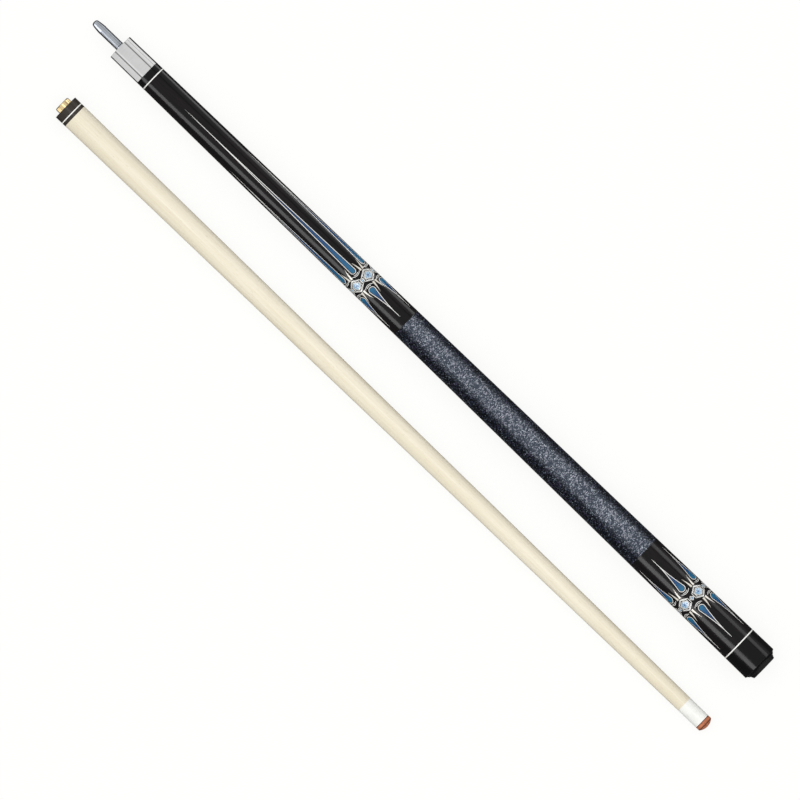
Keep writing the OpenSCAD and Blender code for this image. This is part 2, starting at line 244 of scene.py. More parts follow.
def turned(name: str, half: Half, profile: Sequence[Spot], ease: float = 0.12, closed: bool = True,
           segments: int = 128, mark_at: Callable[[float, float], float] | None = None) -> bpy.types.Object:
    """Turns a profile round a half's centre line, as on a lathe.

    Args:
        name: Name of the piece.
        half: The half whose centre line it is turned on.
        profile: Stations and radii, from the front of the outer side backwards, then the bore.
        ease: Size of the round on each corner.
        closed: Whether the profile is a loop, as in a sleeve.
        segments: Steps round.
        mark_at: What the "edge" attribute is at a station and radius, instead of 1 on the corners.

    Returns:
        The piece, with a UV map of arc and station in metres and an "edge" attribute.
    """
    spots, marks = eased(profile, ease, closed)
    if mark_at:
        marks = [mark_at(s, r) for s, r in spots]
    verts: list[Vector] = []
    rings: list[list[int]] = []
    edge: list[float] = []
    for (s, r), mark in zip(spots, marks):
        steps = 1 if r < 1e-6 else segments
        rings.append([len(verts) + j for j in range(steps)])
        verts += [half.spot(s, r, 2 * math.pi * j / segments) for j in range(steps)]
        edge += [mark] * steps
    faces: list[list[int]] = []
    maps: list[Spot] = []
    pairs = list(range(len(rings) - 1)) + ([-1] if closed else [])
    for i in pairs:
        near, far = rings[i], rings[i + 1]
        (s0, r0), (s1, r1) = spots[i], spots[i + 1]
        if len(near) == len(far) == 1:
            continue
        for j in range(segments):
            k = (j + 1) % segments
            u0, u1 = 2 * math.pi * j / segments, 2 * math.pi * (j + 1) / segments
            if len(near) == 1:
                faces.append([near[0], far[j], far[k]])
                maps += [(u0 * r0, s0), (u0 * r1, s1), (u1 * r1, s1)]
            elif len(far) == 1:
                faces.append([near[j], far[0], near[k]])
                maps += [(u0 * r0, s0), (u0 * r1, s1), (u1 * r0, s0)]
            else:
                faces.append([near[j], far[j], far[k], near[k]])
                maps += [(u0 * r0, s0), (u0 * r1, s1), (u1 * r1, s1), (u1 * r0, s0)]
    mesh = bpy.data.meshes.new(name)
    mesh.from_pydata(verts, [], faces)
    uv = mesh.uv_layers.new(name="UVMap")
    uv.data.foreach_set("uv", [c * MM for spot in maps for c in spot])
    mark_layer = mesh.attributes.new("edge", "FLOAT", "POINT")
    mark_layer.data.foreach_set("value", edge)
    return made(name, mesh)


@dataclass(frozen=True)
class Helix:
    """A ridge that runs round a half's centre line: a thread, or the turns of a string.

    Sizes are in millimetres. The ridge goes from its outline down by depth between its turns.
    """

    pitch: float
    depth: float
    per_turn: int = 4
    segments: int = 64
    string: bool = False

    def crest(self, step: int) -> float:
        """Height of the ridge at one of its steps, from 0 to 1."""
        f = (step % self.per_turn) / self.per_turn
        return math.sqrt(max(0.0, 1 - (2 * f - 1) ** 2)) if self.string else 1 - abs(2 * f - 1)

    def wound(self, name: str, half: Half, start: float, end: float,
              outline: Callable[[float], float]) -> bpy.types.Object:
        """Builds the ridge from one station to another, with plain ends.

        Args:
            name: Name of the piece.
            half: The half whose centre line it goes round.
            start: First station.
            end: Last station.
            outline: Outer radius at a station.

        Returns:
            The piece. Its UV map is the arc in millimetres and the number of turns.
        """
        turns = (end - start) / self.pitch
        rows = int(math.ceil(turns + 1)) * self.per_turn + 1
        n = self.segments
        verts: list[Vector] = []
        for k in range(rows + self.per_turn):
            for j in range(n):
                s = start + (k / self.per_turn + j / n - 1) * self.pitch
                fade = max(0.0, min(1.0, (s - start) / self.pitch * 2, (end - s) / self.pitch * 2))
                s = min(max(s, start), end)
                r = outline(s) - self.depth * (1 - self.crest(k)) * (fade if not self.string else 1.0)
                verts.append(half.spot(s, r, math.pi + 2 * math.pi * j / n))
        faces: list[list[int]] = []
        maps: list[float] = []
        arc = 2 * math.pi * outline((start + end) / 2) / n
        for k in range(rows):
            for j in range(n):
                nxt = (k * n + j + 1) if j < n - 1 else (k + self.per_turn) * n
                if j == n - 1 and k + 1 >= rows:
                    continue
                v0, v1 = k / self.per_turn, (k + 1) / self.per_turn
                faces.append([k * n + j, (k + 1) * n + j, nxt + n, nxt])
                maps += [arc * j, v0, arc * j, v1, arc * (j + 1), v1, arc * (j + 1), v0]
        mesh = bpy.data.meshes.new(name)
        mesh.from_pydata(verts, [], faces)
        mesh.uv_layers.new(name="UVMap").data.foreach_set("uv", maps)
        form = bmesh.new()
        form.from_mesh(mesh)
        bmesh.ops.remove_doubles(form, verts=form.verts, dist=1e-7)
        form.to_mesh(mesh)
        form.free()
        return made(name, mesh)


class Skin:
    """Thin pieces let into the surface of a half, gathered into one mesh.

    Their outlines are drawn flat, as stations and distances across from a line along the half.
    """

    LEAST_MITRE: float = 0.4
    LEAST_POINT: float = 0.02
    LONGEST_STEP: float = 0.5

    def __init__(self, half: Half, proud: float = 0.0, depth: float = 0.1) -> None:
        """Starts an empty skin.

        Args:
            half: The half that it lies on.
            proud: How far its face stands out of the taper.
            depth: How deep its sides go in.
        """
        self.half, self.proud, self.depth = half, proud, depth
        self.verts: list[Vector] = []
        self.inner: list[Vector] = []
        self.faces: list[list[int]] = []
        self.maps: list[Spot] = []

    def rows(self, rows: Sequence[Row], angle: float, closed: bool = False, tint: Spot = (0.0, 1.0)) -> None:
        """Adds a strip between rows of spots.

        Args:
            rows: Rows of stations and distances across, all of one length.
            angle: Angle of the line that the distances are from.
            closed: Whether the last row joins the first.
            tint: What the UV map's second part goes from and to over the rows.
        """
        start, width = len(self.verts), len(rows[0])
        for row in rows:
            for s, d in row:
                r = self.half.radius(s)
                turn = angle + d / r
                self.verts.append(self.half.spot(s, r + self.proud, turn))
                self.inner.append(self.half.spot(s, r - self.depth, turn))
        count = len(rows)
        for i in range(count if closed else count - 1):
            k = (i + 1) % count
            v0 = tint[0] + (tint[1] - tint[0]) * i / (count - 1)
            v1 = tint[0] + (tint[1] - tint[0]) * (i + 1) / (count - 1)
            for j in range(width - 1):
                self.faces.append([start + i * width + j, start + k * width + j,
                                   start + k * width + j + 1, start + i * width + j + 1])
                u0, u1 = j / (width - 1), (j + 1) / (width - 1)
                self.maps += [(u0, v0), (u0, v1), (u1, v1), (u1, v0)]

    def line(self, path: Sequence[Spot], width: float, angle: float, closed: bool = False,
             taper: bool = False) -> None:
        """Adds a line of even width along a path, mitred at its corners.

        Args:
            path: Spots that it goes through.
            width: Width of the line.
            angle: Angle of the line that the distances are from.
            closed: Whether it is a loop.
            taper: Whether it narrows to a point at its end.
        """
        rows: list[Row] = []
        count = len(path)
        for i, here in enumerate(path):
            p = Vector(here)
            back = p - Vector(path[i - 1]) if closed or i else Vector(path[1]) - p
            on = Vector(path[(i + 1) % count]) - p if closed or i < count - 1 else back
            a, b = back.normalized(), on.normalized()
            across = Vector((-(a + b).y, (a + b).x)).normalized()
            w = width / 2 / max(self.LEAST_MITRE, across.dot(Vector((-a.y, a.x))))
            if taper:
                w *= max(self.LEAST_POINT, 1 - i / (count - 1))
            rows.append([tuple(p - across * w), tuple(p + across * w)])
        fine: list[Row] = []
        for row, after in zip(rows, rows[1:] + rows[:1] if closed else rows[1:]):
            parts = max(1, math.ceil((Vector(after[0]) - Vector(row[0])).length / self.LONGEST_STEP))
            fine += [[tuple(Vector(a).lerp(Vector(b), k / parts)) for a, b in zip(row, after)]
                     for k in range(parts)]
        rows = fine if closed else fine + [rows[-1]]
        self.rows(rows, angle, closed)

    def patch(self, left: Sequence[Spot], right: Sequence[Spot], angle: float, columns: int = 4,
              tint: Spot = (0.0, 1.0)) -> None:
        """Adds a filled patch between two sides of the same number of spots.

        Args:
            left: Spots of one side.
            right: Spots of the other side.
            angle: Angle of the line that the distances are from.
            columns: Faces across.
            tint: What the UV map's second part goes from and to along the sides.
        """
        rows = [[(a[0] + (b[0] - a[0]) * j / columns, a[1] + (b[1] - a[1]) * j / columns)
                 for j in range(columns + 1)] for a, b in zip(left, right)]
        self.rows(rows, angle, tint=tint)

    def piece(self, name: str) -> bpy.types.Object:
        """Closes the sides of all that was added and makes it one object.

        Args:
            name: Name of the piece.

        Returns:
            The piece.
        """
        mesh = bpy.data.meshes.new(name)
        mesh.from_pydata(self.verts, [], self.faces)
        mesh.uv_layers.new(name="UVMap").data.foreach_set("uv", [c for spot in self.maps for c in spot])
        form = bmesh.new()
        form.from_mesh(mesh)
        form.verts.ensure_lookup_table()
        form.faces.ensure_lookup_table()
        outward = [top - inner for top, inner in zip(self.verts, self.inner)]
        wrong = [f for f in form.faces if f.normal.dot(outward[f.verts[0].index]) < 0]
        bmesh.ops.reverse_faces(form, faces=wrong)
        rim = [e for e in form.edges if e.is_boundary]
        rim_ids = {v.index for e in rim for v in e.verts}
        low = {i: form.verts.new(self.inner[i]) for i in rim_ids}
        uv = form.loops.layers.uv.active
        for e in rim:
            loop = e.link_loops[0]
            a, b = loop.vert, loop.link_loop_next.vert
            side = form.faces.new([b, a, low[a.index], low[b.index]])
            for corner in side.loops:
                corner[uv].uv = loop[uv].uv
            e.smooth = False
        form.to_mesh(mesh)
        form.free()
        return made(name, mesh)


# ---------------------------------------------------------------------------------------------
# Shader effects that several finishes share
# ---------------------------------------------------------------------------------------------


class Wiring:
    """Short-hand for placing and joining nodes in one shader tree."""

    def __init__(self, tree: bpy.types.NodeTree) -> None:
        """Works on this tree."""
        self.tree = tree

    def add(self, kind: str, inputs: dict[Any, Any] | None = None, **settings: Any) -> bpy.types.Node:
        """Adds a node.

        Args:
            kind: Blender's name of the node's type.
            inputs: What goes into its inputs, by name or number: an output socket or a value.
            settings: Properties of the node.

        Returns:
            The node.
        """
        node = self.tree.nodes.new(kind)
        for key, value in settings.items():
            setattr(node, key, value)
        for key, value in (inputs or {}).items():
            if isinstance(value, bpy.types.NodeSocket):
                self.tree.links.new(value, node.inputs[key])
            else:
                node.inputs[key].default_value = value
        return node

    def maths(self, operation: str, *values: Any) -> bpy.types.NodeSocket:
        """Result of a Math node of this operation on these values."""
        return self.add("ShaderNodeMath", dict(enumerate(values)), operation=operation).outputs[0]

    def vector(self, operation: str, *values: Any) -> bpy.types.NodeSocket:
        """Result of a Vector Math node of this operation on these values."""
        return self.add("ShaderNodeVectorMath", dict(enumerate(values)), operation=operation).outputs[0]

    def ramp(self, value: Any, low: float, high: float, to_low: float = 0.0,
             to_high: float = 1.0) -> bpy.types.NodeSocket:
        """Stretches a value from one range to another, smoothly and without overrun.

        Args:
            value: The value.
            low: Start of the range it is in.
            high: End of the range it is in.
            to_low: What the start becomes.
            to_high: What the end becomes.

        Returns:
            The stretched value.
        """
        return self.add("ShaderNodeMapRange", {"Value": value, "From Min": low, "From Max": high,
                                               "To Min": to_low, "To Max": to_high},
                        interpolation_type="SMOOTHSTEP").outputs["Result"]

    def blend(self, amount: Any, first: Any, second: Any, mode: str = "MIX") -> bpy.types.NodeSocket:
        """Two colours mixed by an amount."""
        node = self.add("ShaderNodeMix", {0: amount, 6: first, 7: second}, data_type="RGBA", blend_type=mode)
        return node.outputs[2]

    def steps(self, value: Any, stops: Sequence[tuple[float, Colour]]) -> bpy.types.NodeSocket:
        """Reads a colour from a ramp.

        Args:
            value: Where on the ramp, from 0 to 1.
            stops: Places and colours along it.

        Returns:
            The colour.
        """
        node = self.add("ShaderNodeValToRGB", {"Fac": value})
        ramp = node.color_ramp
        while len(ramp.elements) < len(stops):
            ramp.elements.new(0.5)
        for element, (station, _) in zip(ramp.elements, stops):
            element.position = station
        for element, (_, colour) in zip(ramp.elements, stops):
            element.color = colour
        return node.outputs["Color"]


class SharedEffects:
    """Node groups that more than one finish places with its own values. Each is built once."""

    def __init__(self) -> None:
        """Starts with no group built."""
        self.built: dict[str, bpy.types.NodeTree] = {}

    def group(self, name: str, inputs: Sequence[tuple[str, str, Any]], outputs: Sequence[tuple[str, str]],
              wire: Callable[[Wiring, dict[str, Any]], dict[str, Any]]) -> bpy.types.NodeTree:
        """Builds a node group, or hands back the one already built.

        Args:
            name: Name of the group.
            inputs: Name, kind and usual value of each input.
            outputs: Name and kind of each output.
            wire: Joins the inputs to what it returns for each output.

        Returns:
            The group.
        """
        if name in self.built:
            return self.built[name]
        tree = bpy.data.node_groups.new(name, "ShaderNodeTree")
        for label, kind, value in inputs:
            socket = tree.interface.new_socket(label, in_out="INPUT", socket_type=kind)
            if value is not None:
                socket.default_value = value
        for label, kind in outputs:
            tree.interface.new_socket(label, in_out="OUTPUT", socket_type=kind)
        w = Wiring(tree)
        entry, leave = w.add("NodeGroupInput"), w.add("NodeGroupOutput")
        for label, socket in wire(w, {label: entry.outputs[label] for label, _, _ in inputs}).items():
            tree.links.new(socket, leave.inputs[label])
        self.built[name] = tree
        return tree

    def place(self, w: Wiring, tree: bpy.types.NodeTree, **inputs: Any) -> bpy.types.Node:
        """Puts a group in a material.

        Args:
            w: Wiring of the material.
            tree: The group.
            inputs: What goes into its inputs: an output socket or a value.

        Returns:
            The group's node.
        """
        node = w.add("ShaderNodeGroup", node_tree=tree)
        for key, value in inputs.items():
            socket = node.inputs[key]
            if isinstance(value, bpy.types.NodeSocket):
                w.tree.links.new(value, socket)
            else:
                socket.default_value = value
        return node

    def long_grain(self) -> bpy.types.NodeTree:
        """Grain that runs along a half: long soft bands, fine lines and short pores.

        Returns:
            The group.
        """
        def wire(w: Wiring, i: dict[str, Any]) -> dict[str, Any]:
            """Joins the group.

            Args:
                w: Wiring of the group's tree.
                i: The group's inputs, by name.

            Returns:
                What it puts out, by name.
            """
            at = w.vector("MULTIPLY", i["Vector"], w.add("ShaderNodeCombineXYZ", {
                0: w.maths("DIVIDE", 1.0, i["Stretch"]), 1: 1.0, 2: 1.0}).outputs[0])
            bands = w.add("ShaderNodeTexNoise", {"Vector": at, "Scale": i["Scale"], "Detail": 3.0,
                                                 "Roughness": 0.55, "Distortion": 0.4}).outputs[0]
            lines = w.add("ShaderNodeTexNoise", {"Vector": at, "Scale": w.maths("MULTIPLY", i["Scale"], 6.0),
                                                 "Detail": 4.0, "Roughness": 0.7}).outputs[0]
            pores = w.add("ShaderNodeTexNoise", {"Vector": w.vector("MULTIPLY", at, (3.0, 1.0, 1.0)),
                                                 "Scale": w.maths("MULTIPLY", i["Scale"], 14.0),
                                                 "Detail": 2.0}).outputs[0]
            return {"Bands": w.ramp(bands, 0.3, 0.7), "Lines": w.ramp(lines, 0.38, 0.66),
                    "Pores": w.ramp(pores, 0.64, 0.72)}
        return self.group("long_grain", [("Vector", "NodeSocketVector", None),
                                         ("Scale", "NodeSocketFloat", 90.0),
                                         ("Stretch", "NodeSocketFloat", 30.0)],
                          [("Bands", "NodeSocketFloat"), ("Lines", "NodeSocketFloat"),
                           ("Pores", "NodeSocketFloat")], wire)

    def turning_marks(self) -> bpy.types.NodeTree:
        """Fine rings that a lathe tool leaves across a turned face, of uneven depth.

        Returns:
            The group.
        """
        def wire(w: Wiring, i: dict[str, Any]) -> dict[str, Any]:
            """Joins the group.

            Args:
                w: Wiring of the group's tree.
                i: The group's inputs, by name.

            Returns:
                What it puts out, by name.
            """
            at = w.vector("MULTIPLY", i["Vector"], (1.0, 0.012, 0.012))
            fine = w.add("ShaderNodeTexNoise", {"Vector": at, "Scale": w.maths("DIVIDE", 1.0, i["Pitch"]),
                                                "Detail": 2.0, "Roughness": 0.6}).outputs[0]
            broad = w.add("ShaderNodeTexNoise", {"Vector": at, "Detail": 1.0,
                                                 "Scale": w.maths("DIVIDE", 0.12, i["Pitch"])}).outputs[0]
            both = w.maths("MULTIPLY", fine, w.ramp(broad, 0.3, 0.7, 0.4, 1.0))
            return {"Height": both, "Mask": w.ramp(both, 0.25, 0.6)}
        return self.group("turning_marks", [("Vector", "NodeSocketVector", None),
                                            ("Pitch", "NodeSocketFloat", 0.00025)],
                          [("Height", "NodeSocketFloat"), ("Mask", "NodeSocketFloat")], wire)

    def handling(self) -> bpy.types.NodeTree:
        """Where hands and cloths have left a surface a little duller, and hairline rubs along it.

        Returns:
            The group.
        """
        def wire(w: Wiring, i: dict[str, Any]) -> dict[str, Any]:
            """Joins the group.

            Args:
                w: Wiring of the group's tree.
                i: The group's inputs, by name.

            Returns:
                What it puts out, by name.
            """
            blot = w.add("ShaderNodeTexNoise", {"Vector": i["Vector"], "Scale": i["Scale"], "Detail": 3.0,
                                                "Roughness": 0.6}).outputs[0]
            fine = w.vector("MULTIPLY", i["Vector"], (1.0, 22.0, 22.0))
            rubs = w.add("ShaderNodeTexNoise", {"Vector": fine,
                                                "Scale": w.maths("MULTIPLY", i["Scale"], 2.0),
                                                "Detail": 3.0}).outputs[0]
            soft = w.ramp(blot, 0.4, 0.68)
            hair = w.ramp(rubs, 0.6, 0.72)
            dull = w.maths("ADD", w.maths("MULTIPLY", soft, 0.7), w.maths("MULTIPLY", hair, 0.3))
            level = w.add("ShaderNodeMapRange", {"Value": dull, "To Min": i["Clean"],
                                                 "To Max": i["Dull"]}).outputs[0]
            return {"Roughness": level, "Smudge": soft, "Rubs": hair}
        return self.group("handling", [("Vector", "NodeSocketVector", None),
                                       ("Scale", "NodeSocketFloat", 60.0),
                                       ("Clean", "NodeSocketFloat", 0.1),
                                       ("Dull", "NodeSocketFloat", 0.2)],
                          [("Roughness", "NodeSocketFloat"), ("Smudge", "NodeSocketFloat"),
                           ("Rubs", "NodeSocketFloat")], wire)

    def flecks(self) -> bpy.types.NodeTree:
        """Scattered flecks with a soft edge.

        Returns:
            The group.
        """
        def wire(w: Wiring, i: dict[str, Any]) -> dict[str, Any]:
            """Joins the group.

            Args:
                w: Wiring of the group's tree.
                i: The group's inputs, by name.

            Returns:
                What it puts out, by name.
            """
            at = w.vector("ADD", i["Vector"], w.add("ShaderNodeCombineXYZ", {
                0: i["Seed"], 1: w.maths("MULTIPLY", i["Seed"], 1.7), 2: i["Seed"]}).outputs[0])
            cloud = w.add("ShaderNodeTexNoise", {"Vector": at, "Scale": i["Scale"], "Detail": 2.0,
                                                 "Roughness": 0.6}).outputs[0]
            top = w.maths("ADD", i["Level"], 0.08)
            return {"Mask": w.add("ShaderNodeMapRange", {"Value": cloud, "From Min": i["Level"],
                                                         "From Max": top}).outputs[0]}
        return self.group("flecks", [("Vector", "NodeSocketVector", None),
                                     ("Scale", "NodeSocketFloat", 300.0),
                                     ("Level", "NodeSocketFloat", 0.6),
                                     ("Seed", "NodeSocketFloat", 0.0)],
                          [("Mask", "NodeSocketFloat")], wire)

    def worn_edges(self) -> bpy.types.NodeTree:
        """Mask of the rounds on a turned piece's corners, broken up as wear is.

        Returns:
            The group.
        """
        def wire(w: Wiring, i: dict[str, Any]) -> dict[str, Any]:
            """Joins the group.

            Args:
                w: Wiring of the group's tree.
                i: The group's inputs, by name.

            Returns:
                What it puts out, by name.
            """
            patchy = w.add("ShaderNodeTexNoise", {"Vector": i["Vector"], "Scale": i["Scale"], "Detail": 4.0,
                                                  "Roughness": 0.7}).outputs[0]
            worn = w.maths("MULTIPLY", i["Edge"], w.ramp(patchy, 0.35, 0.62, 0.25, 1.0))
            return {"Mask": w.maths("MULTIPLY", worn, i["Amount"])}
        return self.group("worn_edges", [("Vector", "NodeSocketVector", None),
                                         ("Edge", "NodeSocketFloat", 0.0),
                                         ("Scale", "NodeSocketFloat", 500.0),
                                         ("Amount", "NodeSocketFloat", 0.5)],
                          [("Mask", "NodeSocketFloat")], wire)


EFFECTS = SharedEffects()


# ---------------------------------------------------------------------------------------------
# Finishes
# ---------------------------------------------------------------------------------------------


@dataclass(frozen=True)
class Finish:
    """What every finish has: its name, and the values that are the same all over the surface."""

    name: str
    specular: float = 0.5
    ior: float = 1.5

    def material(self) -> bpy.types.Material:
        """Builds the material, or hands back the one of this name.

        Returns:
            The material.
        """
        ready = bpy.data.materials.get(self.name)
        if ready:
            return ready
        material = bpy.data.materials.new(self.name)
        material.use_nodes = True
        w = Wiring(material.node_tree)
        shader = material.node_tree.nodes["Principled BSDF"]
        shader.inputs["Specular IOR Level"].default_value = self.specular
        shader.inputs["IOR"].default_value = self.ior
        self.dress(w, shader, w.add("ShaderNodeTexCoord"))
        return material

    def dress(self, w: Wiring, shader: bpy.types.Node, place: bpy.types.Node) -> None:
        """Joins the finish's own nodes to the shader; each finish has its own."""
        raise NotImplementedError

    def bump(self, w: Wiring, shader: bpy.types.Node, height: Any, distance: float, strength: float) -> None:
        """Joins a height to the shader's normal."""
        node = w.add("ShaderNodeBump", {"Height": height, "Strength": strength, "Distance": distance})
        w.tree.links.new(node.outputs[0], shader.inputs["Normal"])

    def handled(self, w: Wiring, at: Any, scale: float, clean: float, dull: float) -> bpy.types.Node:
        """Node that tells how hands and cloths have dulled the surface."""
        return EFFECTS.place(w, EFFECTS.handling(), Vector=at, Scale=scale, Clean=clean, Dull=dull)

    def edge_mask(self, w: Wiring, at: Any, amount: float, scale: float = 500.0) -> bpy.types.NodeSocket:
        """Masks the worn corners of a turned piece.

        Args:
            w: Wiring of the material's tree.
            at: Where the surface is.
            amount: How much wear there is.
            scale: How fine its patches are.

        Returns:
            The mask.
        """
        mark = w.add("ShaderNodeAttribute", attribute_name="edge").outputs["Fac"]
        worn = EFFECTS.place(w, EFFECTS.worn_edges(), Vector=at, Edge=mark, Scale=scale, Amount=amount)
        return worn.outputs[0]


@dataclass(frozen=True)
class Lacquered(Finish):
    """Stained wood or a veneer under clear gloss, with its grain just showing."""

    base: Colour = (0.0075, 0.0072, 0.0075, 1.0)
    grain: Colour = (0.016, 0.0115, 0.013, 1.0)
    clean: float = 0.14
    dull: float = 0.2
    fineness: float = 420.0
    stretch: float = 26.0
    hands: float = 38.0
    wear: float = 0.35
    waves: float = 160.0
    relief: float = 0.00006

    def dress(self, w: Wiring, shader: bpy.types.Node, place: bpy.types.Node) -> None:
        """Joins grain, smudges and the gloss's slight waviness.

        Args:
            w: Wiring of the material's tree.
            shader: The material's main shader.
            place: Its texture coordinates.
        """
        at = place.outputs["Object"]
        wood = EFFECTS.place(w, EFFECTS.long_grain(), Vector=at, Scale=self.fineness, Stretch=self.stretch)
        seen = w.maths("MULTIPLY", wood.outputs["Lines"], w.ramp(wood.outputs["Bands"], 0, 1, 0.3, 1.0))
        worn = self.edge_mask(w, at, self.wear)
        tone = w.blend(seen, self.base, self.grain)
        rubbed = tuple(min(1.0, c * 1.25 + 0.012) for c in self.grain[:3]) + (1.0,)
        w.tree.links.new(w.blend(worn, tone, rubbed), shader.inputs["Base Color"])
        hands = self.handled(w, at, self.hands, self.clean, self.dull)
        w.tree.links.new(hands.outputs["Roughness"], shader.inputs["Roughness"])
        flow = w.add("ShaderNodeTexNoise", {"Vector": at, "Scale": self.waves, "Detail": 1.0}).outputs[0]
        pores = w.maths("MULTIPLY", wood.outputs["Pores"], -0.12)
        self.bump(w, shader, w.maths("ADD", flow, pores), self.relief, 0.5)


@dataclass(frozen=True)
class DyedCore(Finish):
    """Dyed veneer whose colour goes from navy at the thin end to a clear blue at the root."""

    thin: Colour = ink(22, 50, 98)
    middle: Colour = ink(32, 80, 130)
    root: Colour = ink(40, 114, 152)
    grain: Colour = ink(24, 62, 110)
    grain_amount: float = 0.22
    clean: float = 0.1
    dull: float = 0.17
    fineness: float = 600.0
    stretch: float = 18.0
    hands: float = 38.0
    relief: float = 0.00002

    def dress(self, w: Wiring, shader: bpy.types.Node, place: bpy.types.Node) -> None:
        """Joins the colour's run, the grain and the gloss.

        Args:
            w: Wiring of the material's tree.
            shader: The material's main shader.
            place: Its texture coordinates.
        """
        at = place.outputs["Object"]
        run = w.add("ShaderNodeSeparateXYZ", {0: place.outputs["UV"]}).outputs[1]
        dye = w.steps(run, [(0.0, self.thin), (0.5, self.middle), (0.82, self.root), (1.0, self.root)])
        wood = EFFECTS.place(w, EFFECTS.long_grain(), Vector=at, Scale=self.fineness, Stretch=self.stretch)
        grained = w.blend(w.maths("MULTIPLY", wood.outputs["Lines"], self.grain_amount), dye, self.grain)
        w.tree.links.new(grained, shader.inputs["Base Color"])
        hands = self.handled(w, at, self.hands, self.clean, self.dull)
        w.tree.links.new(hands.outputs["Roughness"], shader.inputs["Roughness"])
        self.bump(w, shader, wood.outputs["Lines"], self.relief, 0.3)


@dataclass(frozen=True)
class Shell(Finish):
    """Clouded pale-blue inlay of the decorated rings, like shell."""

    pale: Colour = ink(214, 232, 244)
    deep: Colour = ink(128, 178, 216)
    clouds: float = 520.0
    relief: float = 0.00002

    def dress(self, w: Wiring, shader: bpy.types.Node, place: bpy.types.Node) -> None:
        """Joins the clouds of colour and a slight lustre.

        Args:
            w: Wiring of the material's tree.
            shader: The material's main shader.
            place: Its texture coordinates.
        """
        at = place.outputs["Object"]
        cloud = w.add("ShaderNodeTexNoise", {"Vector": at, "Scale": self.clouds, "Detail": 4.0,
                                             "Roughness": 0.6, "Distortion": 1.2}).outputs[0]
        tone = w.blend(w.ramp(cloud, 0.36, 0.66), self.pale, self.deep)
        w.tree.links.new(tone, shader.inputs["Base Color"])
        w.tree.links.new(w.ramp(cloud, 0.3, 0.7, 0.12, 0.24), shader.inputs["Roughness"])
        self.bump(w, shader, cloud, self.relief, 0.3)


@dataclass(frozen=True)
class Resin(Finish):
    """Turned and polished resin with faint lathe rings and lighter worn corners."""

    base: Colour = (0.006, 0.006, 0.0065, 1.0)
    worn: Colour = (0.05, 0.05, 0.05, 1.0)
    clean: float = 0.12
    dull: float = 0.22
    ring_pitch: float = 0.0006
    clouds: float = 190.0
    hands: float = 70.0
    wear: float = 0.6
    relief: float = 0.00001

    def dress(self, w: Wiring, shader: bpy.types.Node, place: bpy.types.Node) -> None:
        """Joins smudges, lathe rings and wear.

        Args:
            w: Wiring of the material's tree.
            shader: The material's main shader.
            place: Its texture coordinates.
        """
        at = place.outputs["Object"]
        rings = EFFECTS.place(w, EFFECTS.turning_marks(), Vector=at, Pitch=self.ring_pitch)
        worn = self.edge_mask(w, at, self.wear)
        cloud = w.add("ShaderNodeTexNoise", {"Vector": at, "Scale": self.clouds, "Detail": 3.0}).outputs[0]
        tint = tuple(c * 0.96 for c in self.base[:3]) + (1.0,)
        tone = w.blend(w.ramp(cloud, 0.35, 0.65), self.base, tint)
        w.tree.links.new(w.blend(worn, tone, self.worn), shader.inputs["Base Color"])
        hands = self.handled(w, at, self.hands, self.clean, self.dull)
        rough = w.maths("ADD", hands.outputs["Roughness"], w.maths("MULTIPLY", rings.outputs["Mask"], 0.03))
        w.tree.links.new(rough, shader.inputs["Roughness"])
        self.bump(w, shader, rings.outputs["Height"], self.relief, 0.25)


@dataclass(frozen=True)
class TurnedMetal(Finish):
    """Turned metal: lathe rings, a few rubs, and a slightly uneven colour."""

    base: Colour = (0.78, 0.78, 0.775, 1.0)
    dark: Colour = (0.7, 0.7, 0.7, 1.0)
    clean: float = 0.13
    dull: float = 0.22
    pitch: float = 0.00022
    rings: float = 0.3
    hands: float = 110.0
    wear: float = 0.7
    relief: float = 0.00001

    def dress(self, w: Wiring, shader: bpy.types.Node, place: bpy.types.Node) -> None:
        """Joins lathe rings, smudges and rubs.

        Args:
            w: Wiring of the material's tree.
            shader: The material's main shader.
            place: Its texture coordinates.
        """
        at = place.outputs["Object"]
        shader.inputs["Metallic"].default_value = 1.0
        marks = EFFECTS.place(w, EFFECTS.turning_marks(), Vector=at, Pitch=self.pitch)
        hands = self.handled(w, at, self.hands, self.clean, self.dull)
        shade = w.maths("ADD", w.maths("MULTIPLY", hands.outputs["Smudge"], 0.5),
                        w.maths("MULTIPLY", marks.outputs["Mask"], 0.3))
        bright = tuple(min(1.0, c * 1.12) for c in self.base[:3]) + (1.0,)
        tone = w.blend(self.edge_mask(w, at, self.wear), w.blend(shade, self.base, self.dark), bright)
        w.tree.links.new(tone, shader.inputs["Base Color"])
        rough = w.maths("ADD", hands.outputs["Roughness"], w.maths("MULTIPLY", marks.outputs["Mask"], 0.05))
        w.tree.links.new(rough, shader.inputs["Roughness"])
        self.bump(w, shader, marks.outputs["Height"], self.relief, self.rings)


